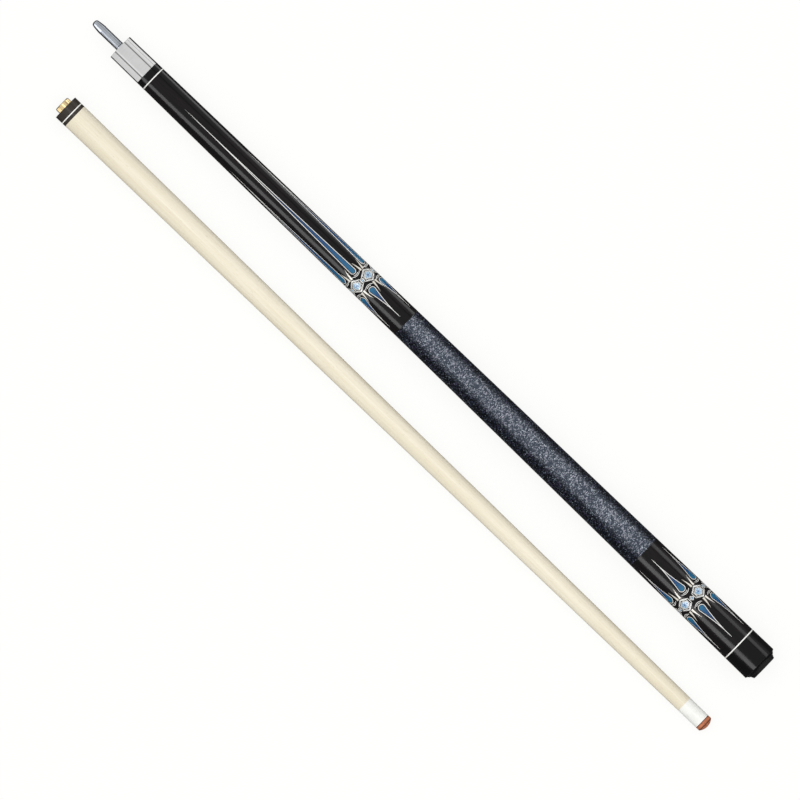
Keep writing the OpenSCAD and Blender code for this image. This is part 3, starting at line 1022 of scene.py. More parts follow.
@dataclass(frozen=True)
class Maple(Finish):
    """Clear-sealed hard maple: pale, with long soft bands and short brown flecks."""

    pale: Colour = ink(230, 223, 204)
    warm: Colour = ink(219, 208, 182)
    line: Colour = ink(196, 178, 144)
    fleck: Colour = ink(160, 134, 98)
    clean: float = 0.3
    dull: float = 0.42
    fineness: float = 150.0
    stretch: float = 45.0
    hands: float = 30.0
    relief: float = 0.00002

    def dress(self, w: Wiring, shader: bpy.types.Node, place: bpy.types.Node) -> None:
        """Joins bands, lines and flecks of the wood and its satin seal.

        Args:
            w: Wiring of the material's tree.
            shader: The material's main shader.
            place: Its texture coordinates.
        """
        at = place.outputs["Object"]
        wood = EFFECTS.place(w, EFFECTS.long_grain(), Vector=at, Scale=self.fineness, Stretch=self.stretch)
        dashes = EFFECTS.place(w, EFFECTS.flecks(), Vector=w.vector("MULTIPLY", at, (0.12, 1.0, 1.0)),
                               Scale=1500.0, Level=0.66, Seed=3.1)
        tone = w.blend(w.maths("MULTIPLY", wood.outputs["Bands"], 0.55), self.pale, self.warm)
        tone = w.blend(w.maths("MULTIPLY", wood.outputs["Lines"], 0.16), tone, self.line)
        tone = w.blend(w.maths("MULTIPLY", wood.outputs["Pores"], 0.2), tone, self.fleck)
        tone = w.blend(w.maths("MULTIPLY", dashes.outputs[0], 0.32), tone, self.fleck)
        w.tree.links.new(tone, shader.inputs["Base Color"])
        hands = self.handled(w, at, self.hands, self.clean, self.dull)
        w.tree.links.new(hands.outputs["Roughness"], shader.inputs["Roughness"])
        self.bump(w, shader, w.maths("ADD", wood.outputs["Lines"], wood.outputs["Pores"]), self.relief, 0.35)


@dataclass(frozen=True)
class Linen(Finish):
    """Pressed linen string: each turn has its own run of dark, blue, violet and white fibres."""

    dark: Colour = ink(8, 8, 11)
    slate: Colour = ink(38, 50, 72)
    violet: Colour = ink(58, 44, 84)
    white: Colour = ink(120, 132, 142)
    wax_tint: Colour = (0.62, 0.76, 1.0, 1.0)
    wax_roughness: float = 0.24
    wax_ior: float = 1.9
    relief: float = 0.00003

    def dress(self, w: Wiring, shader: bpy.types.Node, place: bpy.types.Node) -> None:
        """Joins the fibres of the string turn by turn.

        Args:
            w: Wiring of the material's tree.
            shader: The material's main shader.
            place: Its texture coordinates.
        """
        split = w.add("ShaderNodeSeparateXYZ", {0: place.outputs["UV"]})
        arc, turns = split.outputs[0], split.outputs[1]
        turn = w.maths("FLOOR", turns)
        own = w.add("ShaderNodeCombineXYZ", {0: arc, 1: w.maths("MULTIPLY", turn, 7.31),
                                             2: w.maths("MULTIPLY", turn, 1.93)}).outputs[0]
        lay = w.maths("ADD", w.maths("MULTIPLY", arc, 9.0), w.maths("MULTIPLY", turns, 12.5))
        twist = w.maths("SINE", lay)
        slate = EFFECTS.place(w, EFFECTS.flecks(), Vector=own, Scale=0.42, Level=0.54, Seed=0.0).outputs[0]
        violet = EFFECTS.place(w, EFFECTS.flecks(), Vector=own, Scale=0.5, Level=0.58, Seed=41.0).outputs[0]
        white = EFFECTS.place(w, EFFECTS.flecks(), Vector=own, Scale=0.62, Level=0.6, Seed=83.0).outputs[0]
        tone = w.blend(w.maths("MULTIPLY", slate, 0.8), self.dark, self.slate)
        tone = w.blend(w.maths("MULTIPLY", violet, 0.75), tone, self.violet)
        tone = w.blend(w.maths("MULTIPLY", white, 0.85), tone, self.white)
        fray = w.ramp(twist, -1.0, 1.0, 0.0, 0.3)
        w.tree.links.new(w.blend(fray, tone, self.dark), shader.inputs["Base Color"])
        waxed = w.maths("MAXIMUM", w.maths("MULTIPLY", slate, 0.62), w.maths("MAXIMUM", white, violet))
        w.tree.links.new(w.maths("MULTIPLY", waxed, w.ramp(twist, -1.0, 1.0, 1.0, 0.55)),
                         shader.inputs["Coat Weight"])
        shader.inputs["Coat Roughness"].default_value = self.wax_roughness
        shader.inputs["Specular Tint"].default_value = self.wax_tint
        shader.inputs["Coat IOR"].default_value = self.wax_ior
        w.tree.links.new(w.ramp(twist, -1.0, 1.0, 0.26, 0.38), shader.inputs["Roughness"])
        self.bump(w, shader, twist, self.relief, 0.3)


@dataclass(frozen=True)
class Leather(Finish):
    """Pressed leather of the tip: tan, with a fine open grain and a dark edge that is part burnished leather
    and part painted shade along the tip's outline.
    """

    tan: Colour = ink(196, 120, 82)
    deep: Colour = ink(150, 78, 50)
    # Dark brown of burnished leather, also used as painted shade at the tip's edges.
    burnish_and_shade: Colour = ink(74, 32, 18)
    ply: Colour = ink(222, 160, 120)
    ply_l: float = 0.00085
    pores: float = 2600.0
    clouds: float = 420.0
    relief: float = 0.00008

    def dress(self, w: Wiring, shader: bpy.types.Node, place: bpy.types.Node) -> None:
        """Joins the grain, the dark edge of burnish and painted shade, and scuffs.

        Args:
            w: Wiring of the material's tree.
            shader: The material's main shader.
            place: Its texture coordinates.
        """
        at = place.outputs["Object"]
        pits = w.add("ShaderNodeTexVoronoi", {"Vector": at, "Scale": self.pores}).outputs["Distance"]
        cloud = w.add("ShaderNodeTexNoise", {"Vector": at, "Scale": self.clouds, "Detail": 5.0,
                                             "Roughness": 0.65}).outputs[0]
        tone = w.blend(w.ramp(cloud, 0.35, 0.68), self.tan, self.deep)
        tone = w.blend(w.ramp(pits, 0.1, 0.5, 0.35, 0.0), tone, self.deep)
        station = w.add("ShaderNodeSeparateXYZ", {0: place.outputs["UV"]}).outputs[1]
        plies = w.maths("SINE", w.maths("MULTIPLY", station, 2 * math.pi / self.ply_l))
        tone = w.blend(w.ramp(plies, 0.55, 1.0, 0.0, 0.4), tone, self.ply)
        # Darkens the base and the dome's rim: burnished leather, and painted shade standing in for the tip's
        # dark outline.
        mark = w.add("ShaderNodeAttribute", attribute_name="edge").outputs["Fac"]
        tone = w.blend(w.maths("MULTIPLY", mark, 0.9), tone, self.burnish_and_shade)
        w.tree.links.new(tone, shader.inputs["Base Color"])
        w.tree.links.new(w.ramp(cloud, 0.3, 0.7, 0.5, 0.75), shader.inputs["Roughness"])
        self.bump(w, shader, w.maths("ADD", pits, cloud), self.relief, 0.5)


@dataclass(frozen=True)
class Rubber(Finish):
    """Moulded black rubber, dull and a little dusty."""

    base: Colour = (0.007, 0.007, 0.007, 1.0)
    dust: Colour = (0.05, 0.05, 0.048, 1.0)
    dust_grain: float = 900.0
    skin: float = 1400.0
    wear: float = 0.5
    relief: float = 0.00005

    def dress(self, w: Wiring, shader: bpy.types.Node, place: bpy.types.Node) -> None:
        """Joins the moulded skin and dust.

        Args:
            w: Wiring of the material's tree.
            shader: The material's main shader.
            place: Its texture coordinates.
        """
        at = place.outputs["Object"]
        specks = EFFECTS.place(w, EFFECTS.flecks(), Vector=at, Scale=self.dust_grain, Level=0.62,
                               Seed=12.0).outputs[0]
        skin = w.add("ShaderNodeTexNoise", {"Vector": at, "Scale": self.skin, "Detail": 2.0}).outputs[0]
        tone = w.blend(w.maths("MULTIPLY", specks, 0.4), self.base, self.dust)
        tone = w.blend(self.edge_mask(w, at, self.wear), tone, self.dust)
        w.tree.links.new(tone, shader.inputs["Base Color"])
        w.tree.links.new(w.ramp(skin, 0.3, 0.7, 0.5, 0.7), shader.inputs["Roughness"])
        self.bump(w, shader, skin, self.relief, 0.4)


class Finishes(Enum):
    """Every finish on the cue, with the record's slot that it is for."""

    LACQUER = ("black_lacquer", Lacquered("black_lacquer_gloss", specular=0.13))
    VENEER = ("white_veneer", Lacquered("white_veneer_gloss", specular=0.4, base=ink(252, 252, 250),
                                        grain=ink(238, 238, 234)))
    CREAM = ("decor_ring", Lacquered("cream_veneer_gloss", specular=0.4, base=ink(242, 238, 228),
                                     grain=ink(208, 200, 184)))
    CORE = ("blue_core", DyedCore("blue_core_gloss", specular=0.4))
    MARK = ("decor_ring", Lacquered("deep_blue_gloss", specular=0.4, base=ink(34, 82, 150),
                                    grain=ink(24, 60, 120)))
    SHELL = ("decor_ring", Shell("pale_blue_shell", specular=0.4))
    RING_GROUND = ("decor_ring", Lacquered("ring_ground_gloss", specular=0.13))
    BLACK_RESIN = ("black_resin", Resin("black_resin_gloss", specular=0.13))
    SHAFT_RESIN = ("black_resin", Resin("black_resin_satin", specular=0.26, base=(0.034, 0.027, 0.022, 1.0),
                                        worn=(0.12, 0.11, 0.1, 1.0), clean=0.26, dull=0.36))
    WHITE_RESIN = ("white_resin", Resin("white_resin_gloss", base=ink(238, 238, 234),
                                        worn=ink(246, 246, 242)))
    COLLAR = ("collar_steel", TurnedMetal("collar_steel_polished", clean=0.05, dull=0.1, rings=0.12))
    PIN = ("pin_steel", TurnedMetal("pin_steel_polished", base=(0.5, 0.53, 0.58, 1.0),
                                    dark=(0.4, 0.43, 0.48, 1.0), clean=0.12, dull=0.2))
    BOLT = ("bolt_steel", TurnedMetal("bolt_steel_plain", base=(0.35, 0.35, 0.36, 1.0),
                                      dark=(0.22, 0.22, 0.22, 1.0), clean=0.3, dull=0.5, rings=0.6))
    BRASS = ("brass", TurnedMetal("brass_turned", base=(0.87, 0.68, 0.37, 1.0), dark=(0.76, 0.54, 0.25, 1.0),
                                  clean=0.16, dull=0.28))
    MAPLE = ("maple", Maple("maple_satin", specular=0.45))
    LINEN = ("linen", Linen("linen_pressed", specular=0.3))
    FERRULE = ("ferrule_white", Resin("ferrule_white_satin", base=ink(236, 236, 232), worn=ink(224, 224, 220),
                                      clean=0.26, dull=0.36))
    TIP = ("tip_leather", Leather("tip_leather_pressed", specular=0.3))
    RUBBER = ("bumper_rubber", Rubber("bumper_rubber_moulded", specular=0.25))

    @property
    def slot(self) -> str:
        """The record's material slot."""
        return self.value[0]

    def material(self) -> bpy.types.Material:
        """The finish's material."""
        return self.value[1].material()


def settle(piece: bpy.types.Object, finish: Finishes, body: str, *nodes: str) -> bpy.types.Object:
    """Dresses a piece, puts it on its body and lets it stand for its nodes.

    Args:
        piece: The piece.
        finish: Its finish.
        body: Body that it moves with.
        nodes: CAD nodes that it stands for.

    Returns:
        The piece.
    """
    piece.data.materials.clear()
    piece.data.materials.append(finish.material())
    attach(piece, body)
    finish.slot
    if nodes:
        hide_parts(*nodes)
    log.info("%s: %d faces, %s, on %s", piece.name, len(piece.data.polygons), finish.slot, body)
    return piece


# ---------------------------------------------------------------------------------------------
# Sub-assemblies
# ---------------------------------------------------------------------------------------------


def sleeve(half: Half, name: str, node: str, bore: float, sink: float = 0.0) -> bpy.types.Object:
    """Turns a sleeve that covers a node's reach on the taper.

    Args:
        half: The half.
        name: Name of the piece.
        node: Node whose reach it takes.
        bore: Radius of its bore.
        sink: How far its surface lies under the taper.

    Returns:
        The piece.
    """
    return tube(half, name, *half.reach(node), bore, sink)


def tube(half: Half, name: str, start: float, end: float, bore: float, sink: float) -> bpy.types.Object:
    """Turns a sleeve from one station to another on the taper.

    Args:
        half: The half.
        name: Name of the piece.
        start: First station.
        end: Last station.
        bore: Radius of its bore.
        sink: How far its surface lies under the taper.

    Returns:
        The piece.
    """
    profile = [(start, half.radius(start) - sink), (end, half.radius(end) - sink), (end, bore), (start, bore)]
    return turned(name, half, profile, ease=0.08)


@dataclass
class ScrewJoint:
    """Steel pin and steel collar at the front of the butt."""

    half: Half
    pin_r: float = 3.97
    thread: Helix = Helix(pitch=25.4 / 18, depth=0.26, per_turn=8, segments=48)
    nose: tuple[Spot, ...] = ((0.0, 0.0), (0.03, 0.75), (0.16, 1.4), (0.45, 2.05), (0.9, 2.55), (1.5, 2.9),
                              (2.5, 3.15), (4.4, 3.45), (6.6, 3.7), (8.6, 3.88))
    nose_l: float = 9.4
    shoulder: float = 0.3
    seat_l: float = SEAT_L
    seat_r: float = 7.0
    web_l: float = 2.5
    anchor_r: float = 4.62
    anchor_gap: float = 0.03
    tenon_r: float = 8.53

    def pin(self) -> None:
        """Builds the pin: bullet nose, threaded length, and the part glued into the forearm."""
        front, rear = self.half.reach("joint_pin")
        nose = [(front + s, r) for s, r in self.nose]
        under = self.pin_r - 0.02
        root = under - self.thread.depth
        shoulder = front + self.nose_l + self.shoulder
        profile = nose + [(shoulder, under), (shoulder + self.shoulder, root), (self.seat_l, root),
                          (self.seat_l, self.anchor_r), (rear, self.anchor_r), (rear, 0.0)]
        core = turned("joint_pin_core", self.half, profile, ease=0.05, closed=False, segments=64)
        settle(core, Finishes.PIN, "butt", "joint_pin")
        ridge = self.thread.wound("joint_pin_thread", self.half, front + self.nose_l, self.seat_l,
                                  lambda s: self.pin_r)
        settle(ridge, Finishes.PIN, "butt", "joint_pin")

    def collar(self) -> None:
        """Builds the collar with its counterbore and web."""
        a, b = self.half.reach("joint_collar")
        web, hole = self.seat_l + self.web_l, self.anchor_r + self.anchor_gap
        profile = [(a, self.half.radius(a)), (b, self.half.radius(b)), (b, self.tenon_r), (web, self.tenon_r),
                   (web, hole), (self.seat_l, hole), (self.seat_l, self.seat_r), (a, self.seat_r)]
        collar = turned("joint_collar_turned", self.half, profile, ease=0.22, segments=160)
        settle(collar, Finishes.COLLAR, "butt", "joint_collar")

    def build(self) -> None:
        """Builds both."""
        self.pin()
        self.collar()


@dataclass(frozen=True)
class Blade:
    """Outline of a point or a spear: a thin tip that swells to a round root beside a ring."""

    tip: float
    root: float
    half_w: float
    power: float
    tip_half_w: float = 0.2
    tip_swell: float = 12.0

    @property
    def way(self) -> int:
        """Direction from the tip to the root along the half."""
        return 1 if self.root > self.tip else -1

    @property
    def neck(self) -> float:
        """Station where the round of the root begins."""
        return self.root - self.way * self.half_w

    def side(self, inset: float, steps: int = 26, round_steps: int = 10) -> Row:
        """One side of the outline, from the tip to the middle of the root.

        Args:
            inset: How much smaller it is drawn.
            steps: Spots along the blade.
            round_steps: Spots round the root.

        Returns:
            Stations and distances across.
        """
        first = (inset / self.half_w) ** (1 / self.power)
        out: Row = []
        for i in range(steps):
            v = first + (1 - first) * i / steps
            least = self.tip_half_w * min(1.0, v * self.tip_swell)
            across = max(self.half_w * v ** self.power, least) - inset
            out.append((self.tip + (self.neck - self.tip) * v, across))
        for j in range(round_steps + 1):
            a = math.pi / 2 * j / round_steps
            out.append((self.neck + self.way * (self.half_w - inset) * math.sin(a),
                        (self.half_w - inset) * math.cos(a)))
        return out

    def loop(self, inset: float) -> Row:
        """The whole outline from the tip round the root and back."""
        side = self.side(inset)
        return side + [(s, -d) for s, d in reversed(side[1:-1])]


@dataclass
class InlaySet:
    """Points or spears around a stretch of the butt: a white line, a black gap and a blue core."""

    half: Half
    name: str
    body: str
    veneer_node: str
    core_node: str
    tips: tuple[float, float]
    root: float
    half_w: float
    power: float
    line_w: float = 0.5
    gap_w: float = 0.45
    wide_gain: float = 1.25
    count: int = 6

    def blades(self) -> Iterable[tuple[Blade, float]]:
        """Lays out the blades. Every second one is wider.

        Returns:
            Each blade with the angle of its line.
        """
        for i in range(self.count):
            half_w = self.half_w * (self.wide_gain if i % 2 else 1.0)
            yield Blade(self.tips[i % 2], self.root, half_w, self.power), 2 * math.pi * i / self.count

    def build(self) -> None:
        """Builds the lines and the cores."""
        lines, cores = Skin(self.half), Skin(self.half)
        for blade, angle in self.blades():
            outer, inner = blade.loop(0.0), blade.loop(self.line_w)
            middle = [((a[0] + b[0]) / 2, (a[1] + b[1]) / 2) for a, b in zip(outer, inner)]
            lines.rows([[a, m, b] for a, m, b in zip(outer, middle, inner)], angle, closed=True)
            side = blade.side(self.line_w + self.gap_w, 34, 12)[:-1]
            cores.patch([(s, -d) for s, d in side], side, angle, columns=8)
        settle(lines.piece(self.name + "_lines"), Finishes.VENEER, self.body, self.veneer_node)
        settle(cores.piece(self.name + "_blue_cores"), Finishes.CORE, self.body, self.core_node)


@dataclass
class DecoratedRing:
    """Ring with pale-blue six-sided inlays, small diamonds and nested lines, and horns beside it."""

    half: Half
    node: str
    bore: float = 8.53
    count: int = 6
    plate_l: float = 3.0
    plate_w: float = 2.9
    plate_waist: float = 0.42
    plate_sink: float = 0.02
    nests: tuple[float, ...] = (0.5, 2.75)
    star: tuple[float, float] = (2.15, 1.1)
    line_w: float = 0.46
    mark_r: float = 2.1
    mark_w: float = 0.4
    mark_sink: float = 0.01
    stud: float = 1.9
    stud_fill: float = 0.55
    arcs: tuple[float, ...] = (4.5, 5.65)
    arc_gap: float = 0.15
    root_off: float = 3.8
    wide_off: float = 0.8
    horn_l: float = 9.0
    horn_in: float = 1.2
    horn_w: float = 1.9
    horn_root: float = 1.3
    horn_tip: float = 3.0
    horn_bend: float = 1.6

    def plate(self, grow: float, middle: float) -> Row:
        """Outlines a six-sided inlay round the ring's middle.

        Args:
            grow: How much larger it is drawn.
            middle: Station of the ring's middle.

        Returns:
            Its six corners.
        """
        a, b = self.plate_l + grow, self.plate_w + grow
        c = self.plate_waist * a
        return [(middle + x, y) for x, y in ((-a, 0), (-c, b), (c, b), (a, 0), (c, -b), (-c, -b))]

    def inlay(self, plates: Skin, lines: Skin, marks: Skin, middle: float, angle: float) -> None:
        """Adds a six-sided inlay with its nested lines, its star and its marks.

        Args:
            plates: Skin of the pale inlays.
            lines: Skin of the white lines.
            marks: Skin of the blue marks.
            middle: Station of the ring's middle.
            angle: Angle of the inlay.
        """
        steps = [self.plate_l * (i / 8 - 1) for i in range(17)]
        slant = self.plate_l - self.plate_waist * self.plate_l
        width = [self.plate_w * min(1.0, (self.plate_l - abs(x)) / slant) for x in steps]
        plates.patch([(middle + x, -y) for x, y in zip(steps, width)],
                     [(middle + x, y) for x, y in zip(steps, width)], angle, columns=12)
        for grow in self.nests:
            lines.line(self.plate(grow, middle), self.line_w, angle, closed=True)
        lines.line([(middle + (self.plate_l + self.star[j % 2]) * math.cos(math.pi * j / 6),
                     (self.plate_w + self.star[j % 2]) * math.sin(math.pi * j / 6)) for j in range(12)],
                   self.line_w, angle, closed=True)
        for turn in (math.pi * (j / 3 + 1 / 6) for j in range(3)):
            x, y = math.cos(turn) * self.mark_r, math.sin(turn) * self.mark_r
            marks.line([(middle - x, -y), (middle + x, y)], self.mark_w, angle)

    def arches(self, lines: Skin, root: float, way: int, extra: float, angle: float) -> None:
        """Adds the arches round the root of a point or spear.

        Args:
            lines: Skin of the white lines.
            root: Station that they are drawn round.
            way: 1 behind the ring and -1 in front of it.
            extra: How much larger they are at a wide point or spear.
            angle: Angle of the point or spear.
        """
        for r in (r + extra for r in self.arcs):
            reach = math.acos(min(1.0, (self.root_off + extra + self.arc_gap) / r))
            lines.line([(root - way * r * math.cos(t), r * math.sin(t)) for t in
                        (reach * (j / 8 - 1) for j in range(17))], self.line_w, angle)

    def horn(self, horns: Skin, edge: float, way: int, side: int, angle: float) -> None:
        """Adds one horn.

        Args:
            horns: Skin of the horns.
            edge: Station of the ring's edge that it stands on.
            way: 1 behind the ring and -1 in front of it.
            side: 1 or -1, the side of the line that it bends to.
            angle: Angle of the line that it stands beside.
        """
        path = [(edge + way * ((self.horn_l + self.horn_in) * t - self.horn_in),
                 side * (self.horn_root + (self.horn_tip - self.horn_root) * t ** self.horn_bend))
                for t in (j / 10 for j in range(11))]
        horns.line(path, self.horn_w, angle, taper=True)

    def diamond(self, plates: Skin, lines: Skin, middle: float, angle: float) -> None:
        """Adds a small diamond and the line round it.

        Args:
            plates: Skin of the pale inlays.
            lines: Skin of the white lines.
            middle: Station of the ring's middle.
            angle: Angle of the diamond.
        """
        s = self.stud
        lines.line([(middle - s, 0.0), (middle, s), (middle + s, 0.0), (middle, -s)], self.line_w, angle,
                   closed=True)
        near = s * self.stud_fill
        rows = [near * (i / 3 - 1) for i in range(7)]
        plates.patch([(middle + x, abs(x) - near) for x in rows],
                     [(middle + x, near - abs(x)) for x in rows], angle, columns=4)

    def build(self) -> None:
        """Builds the ground, plates, marks and lines of the ring and the horns beside it."""
        a, b = self.half.reach(self.node)
        middle, half_l = (a + b) / 2, (b - a) / 2
        name = self.node
        settle(sleeve(self.half, name + "_ground", self.node, self.bore, sink=SINK), Finishes.RING_GROUND,
               "butt", self.node)
        plates, marks = Skin(self.half, -self.plate_sink), Skin(self.half, -self.mark_sink)
        lines, horns = Skin(self.half), Skin(self.half)
        for n in range(self.count):
            angle = 2 * math.pi * n / self.count
            between = angle + math.pi / self.count
            extra = self.wide_off * (n % 2)
            self.inlay(plates, lines, marks, middle, between)
            for way in (-1, 1):
                self.arches(lines, middle + way * (half_l + self.root_off + extra), way, extra, angle)
                for side in (-1, 1):
                    self.horn(horns, middle + way * half_l, way, side, between)
            self.diamond(plates, lines, middle, angle)
        settle(plates.piece(name + "_plates"), Finishes.SHELL, "butt")
        settle(marks.piece(name + "_marks"), Finishes.MARK, "butt")
        settle(lines.piece(name + "_lines"), Finishes.VENEER, "butt")
        settle(horns.piece(name + "_horns"), Finishes.CREAM, "butt")


@dataclass
class Forearm:
    """Black forearm with its front rings and its six long points."""

    half: Half
    bore: float = 8.53
    long_tip: float = 34.7
    short_tip: float = 95.5
    margin: float = 0.6
    point_w: float = 2.7
    point_power: float = 1.45

    def build(self) -> None:
        """Builds the rings, the forearm and its points."""
        settle(sleeve(self.half, "collar_ring_turned", "collar_ring", self.bore), Finishes.BLACK_RESIN,
               "butt", "collar_ring")
        settle(sleeve(self.half, "forearm_ring_turned", "forearm_ring", self.bore), Finishes.WHITE_RESIN,
               "butt", "forearm_ring")
        start = self.half.reach("forearm_ring")[1]
        end = self.half.reach("upper_decor_ring")[0]
        settle(tube(self.half, "forearm_turned", start, end, self.bore, SINK), Finishes.LACQUER, "butt",
               "forearm")
        tips = (start + self.long_tip, start + self.short_tip)
        InlaySet(self.half, "forearm_points", "butt", "point_veneers", "point_cores", tips,
                 end - self.margin, self.point_w, self.point_power).build()


@dataclass
class Handle:
    """Handle with its bare nose, its linen wrap, and the tenon under the sleeves."""

    half: Half
    seat: float = 0.83
    tenon_r: float = 8.5
    tenon_end: float = 712.0
    bore_r: float = 6.4
    bore_extra: float = 12.0
    string: Helix = Helix(pitch=0.78, depth=0.2, per_turn=4, segments=64, string=True)
    spear_l: float = 35.0
    spear_w: float = 3.2
    spear_power: float = 2.0
    margin: float = 0.6

    def build(self) -> None:
        """Builds the wood, the wrap and the nose's spears."""
        nose = self.half.reach("upper_decor_ring")[1]
        wrap_a, wrap_b = self.half.reach("linen_wrap")
        bore = self.half.reach("weight_bolt")[0] - self.bore_extra
        r = self.half.radius
        profile = [(nose, 0.0), (nose, r(nose) - SINK), (wrap_a, r(wrap_a) - SINK),
                   (wrap_a, r(wrap_a) - self.seat), (wrap_b, r(wrap_b) - self.seat), (wrap_b, self.tenon_r),
                   (self.tenon_end, self.tenon_r), (self.tenon_end, self.bore_r), (bore, self.bore_r),
                   (bore, 0.0)]
        settle(turned("handle_turned", self.half, profile, 0.08, closed=False), Finishes.LACQUER, "butt",
               "handle")
        settle(self.string.wound("linen_wrap_string", self.half, wrap_a, wrap_b, r), Finishes.LINEN,
               "butt", "linen_wrap")
        tip = nose + self.spear_l
        InlaySet(self.half, "nose_spears", "butt", "nose_spear_veneers", "nose_spear_cores", (tip, tip),
                 nose + self.margin, self.spear_w, self.spear_power).build()


@dataclass
class Sleeve:
    """The two stretches of the butt sleeve, on either side of the lower ring, with their spears."""

    half: Half
    bore: float = 8.53
    spear_l: float = 38.0
    spear_w: float = 3.2
    spear_power: float = 2.0
    margin: float = 0.6

    def build(self) -> None:
        """Builds both stretches and their spears."""
        ring_a, ring_b = self.half.reach("lower_decor_ring")
        start, end = self.half.reach("linen_wrap")[1], self.half.reach("cap_ring")[0]
        spears: list[InlaySet] = []
        for node, a, b, edge, way in (("sleeve_front", start, ring_a, ring_a, -1),
                                      ("sleeve_rear", ring_b, end, ring_b, 1)):
            settle(tube(self.half, node + "_turned", a, b, self.bore, SINK), Finishes.LACQUER, "butt", node)
            tip, root = edge + way * self.spear_l, edge + way * self.margin
            spear = node.replace("sleeve_", "") + "_spear"
            spears.append(InlaySet(self.half, spear + "s", "butt", spear + "_veneers", spear + "_cores",
                                   (tip, tip), root, self.spear_w, self.spear_power))
        for inlays in spears:
            inlays.build()


@dataclass
class ButtEnd:
    """Butt cap with its white ring and rear cove, the rubber bumper, and the steel bolts inside."""

    half: Half
    tenon_bore: float = 8.53
    tenon_end: float = 712.0
    cove_l: float = 2.3
    cove_r: float = 13.55
    seat_l: float = 3.0
    seat_r: float = 12.9
    bore_r: float = 6.4
    stem_r: float = 6.35
    head_r: float = 12.85
    end_r: float = 11.8
    proud: float = 3.1
    nose_round: float = 0.8
    dish: tuple[float, float, float] = (5.0, 4.4, 0.35)
    stem_ease: float = 1.0
    head_gap: float = 0.1
    hollow: float = 0.75

    def cap(self) -> None:
        """Builds the white ring and the cap."""
        settle(sleeve(self.half, "cap_ring_turned", "cap_ring", self.tenon_bore), Finishes.WHITE_RESIN,
               "butt", "cap_ring")
        a, b = self.half.reach("butt_cap")
        edge = b - self.cove_l
        wide = self.half.radius(edge)
        cove = [(edge + self.cove_l * math.sin(t), wide - (wide - self.cove_r) * (1 - math.cos(t)))
                for t in (math.pi / 2 * j / 6 for j in range(7))]
        dip = [(edge + self.cove_l * (1 - math.cos(t)), wide - (wide - self.cove_r) * math.sin(t))
               for t in (math.pi / 2 * j / 6 for j in range(7))]
        k = self.hollow
        mixed = [(p[0] * (1 - k) + q[0] * k, p[1] * (1 - k) + q[1] * k) for p, q in zip(cove, dip)]
        profile = [(a, self.half.radius(a))] + mixed + [
            (b, self.seat_r), (b - self.seat_l, self.seat_r), (b - self.seat_l, self.bore_r),
            (self.tenon_end, self.bore_r), (self.tenon_end, self.tenon_bore), (a, self.tenon_bore)]
        settle(turned("butt_cap_turned", self.half, profile, 0.1), Finishes.BLACK_RESIN, "butt", "butt_cap")

    def bumper(self) -> None:
        """Builds the rubber bumper with its stem."""
        front, rear = self.half.reach("bumper")
        base = rear - self.proud
        head = base - self.seat_l + self.head_gap
        nose = [(rear - self.nose_round * (1 - math.sin(t)), self.end_r - self.nose_round * (1 - math.cos(t)))
                for t in (math.pi / 2 * j / 4 for j in range(5))]
        rim_r, floor_r, deep = self.dish
        profile = [(front, 0.0), (front, self.stem_r - self.stem_ease), (front + self.stem_ease, self.stem_r),
                   (head, self.stem_r), (head, self.head_r), (base, self.head_r)] + nose + [
            (rear, rim_r), (rear - deep, floor_r), (rear - deep, 0.0)]
        settle(turned("bumper_moulded", self.half, profile, 0.15, closed=False), Finishes.RUBBER,
               "bumper", "bumper")

    def build(self) -> None:
        """Builds the end of the butt and dresses the two steel bolts."""
        self.cap()
        self.bumper()
        for node in ("core_bolt", "weight_bolt"):
            part = frame["nodes"][node]
            part.data.materials.clear()
            part.data.materials.append(Finishes.BOLT.material())
            log.info("%s: dressed in %s", node, Finishes.BOLT.slot)


@dataclass
class ShaftFront:
    """Front of the shaft: brass insert with its pilot, and three rings."""

    half: Half
    pilot_r: float = 6.85
    pilot_proud: float = 4.5
    chamfer: float = 0.8
    chamfer_middle: Spot = (0.22, 0.32)
    lead_in: float = 0.7
    thread_from: float = 1.2
    thread_short: float = 1.0
    hole_r: float = 4.02
    hole_end: float = 32.0
    insert_r: float = 5.57
    insert_gap: float = 0.03
    insert_end: float = 34.0
    pitch: float = 25.4 / 18
    thread_depth: float = 0.4
    web: float = 1.5
    tenon_r: float = 8.43

    def insert(self) -> None:
        """Builds the brass insert with a threaded bore."""
        front = -self.pilot_proud
        bore: list[Spot] = []
        s = self.hole_end - self.thread_short
        while s > front + self.thread_from:
            bore += [(s, self.hole_r), (s - self.pitch / 2, self.hole_r + self.thread_depth)]
            s -= self.pitch
        profile = [(self.hole_end, 0.0), (self.hole_end, self.hole_r)] + bore + [
            (front + self.lead_in, self.hole_r), (front, self.hole_r + self.lead_in),
            (front, self.pilot_r - self.chamfer),
            (front + self.chamfer_middle[0], self.pilot_r - self.chamfer_middle[1]),
            (front + self.chamfer, self.pilot_r), (0.0, self.pilot_r),
            (0.0, self.insert_r), (self.insert_end, self.insert_r), (self.insert_end, 0.0)]
        settle(turned("brass_insert_turned", self.half, profile, 0.12, closed=False), Finishes.BRASS,
               "shaft", "brass_insert")

    def build(self) -> None:
        """Builds the insert and the rings."""
        self.insert()
        a, b = self.half.reach("shaft_collar")
        hole = self.insert_r + self.insert_gap
        profile = [(a, self.half.radius(a)), (b, self.half.radius(b)), (b, self.tenon_r),
                   (self.web, self.tenon_r), (self.web, hole), (a, hole)]
        settle(turned("shaft_collar_turned", self.half, profile, 0.15), Finishes.SHAFT_RESIN, "shaft",
               "shaft_collar")
        settle(sleeve(self.half, "shaft_white_ring_turned", "shaft_white_ring", self.tenon_r),
               Finishes.WHITE_RESIN, "shaft", "shaft_white_ring")
        settle(sleeve(self.half, "shaft_black_ring_turned", "shaft_black_ring", self.tenon_r),
               Finishes.SHAFT_RESIN, "shaft", "shaft_black_ring")


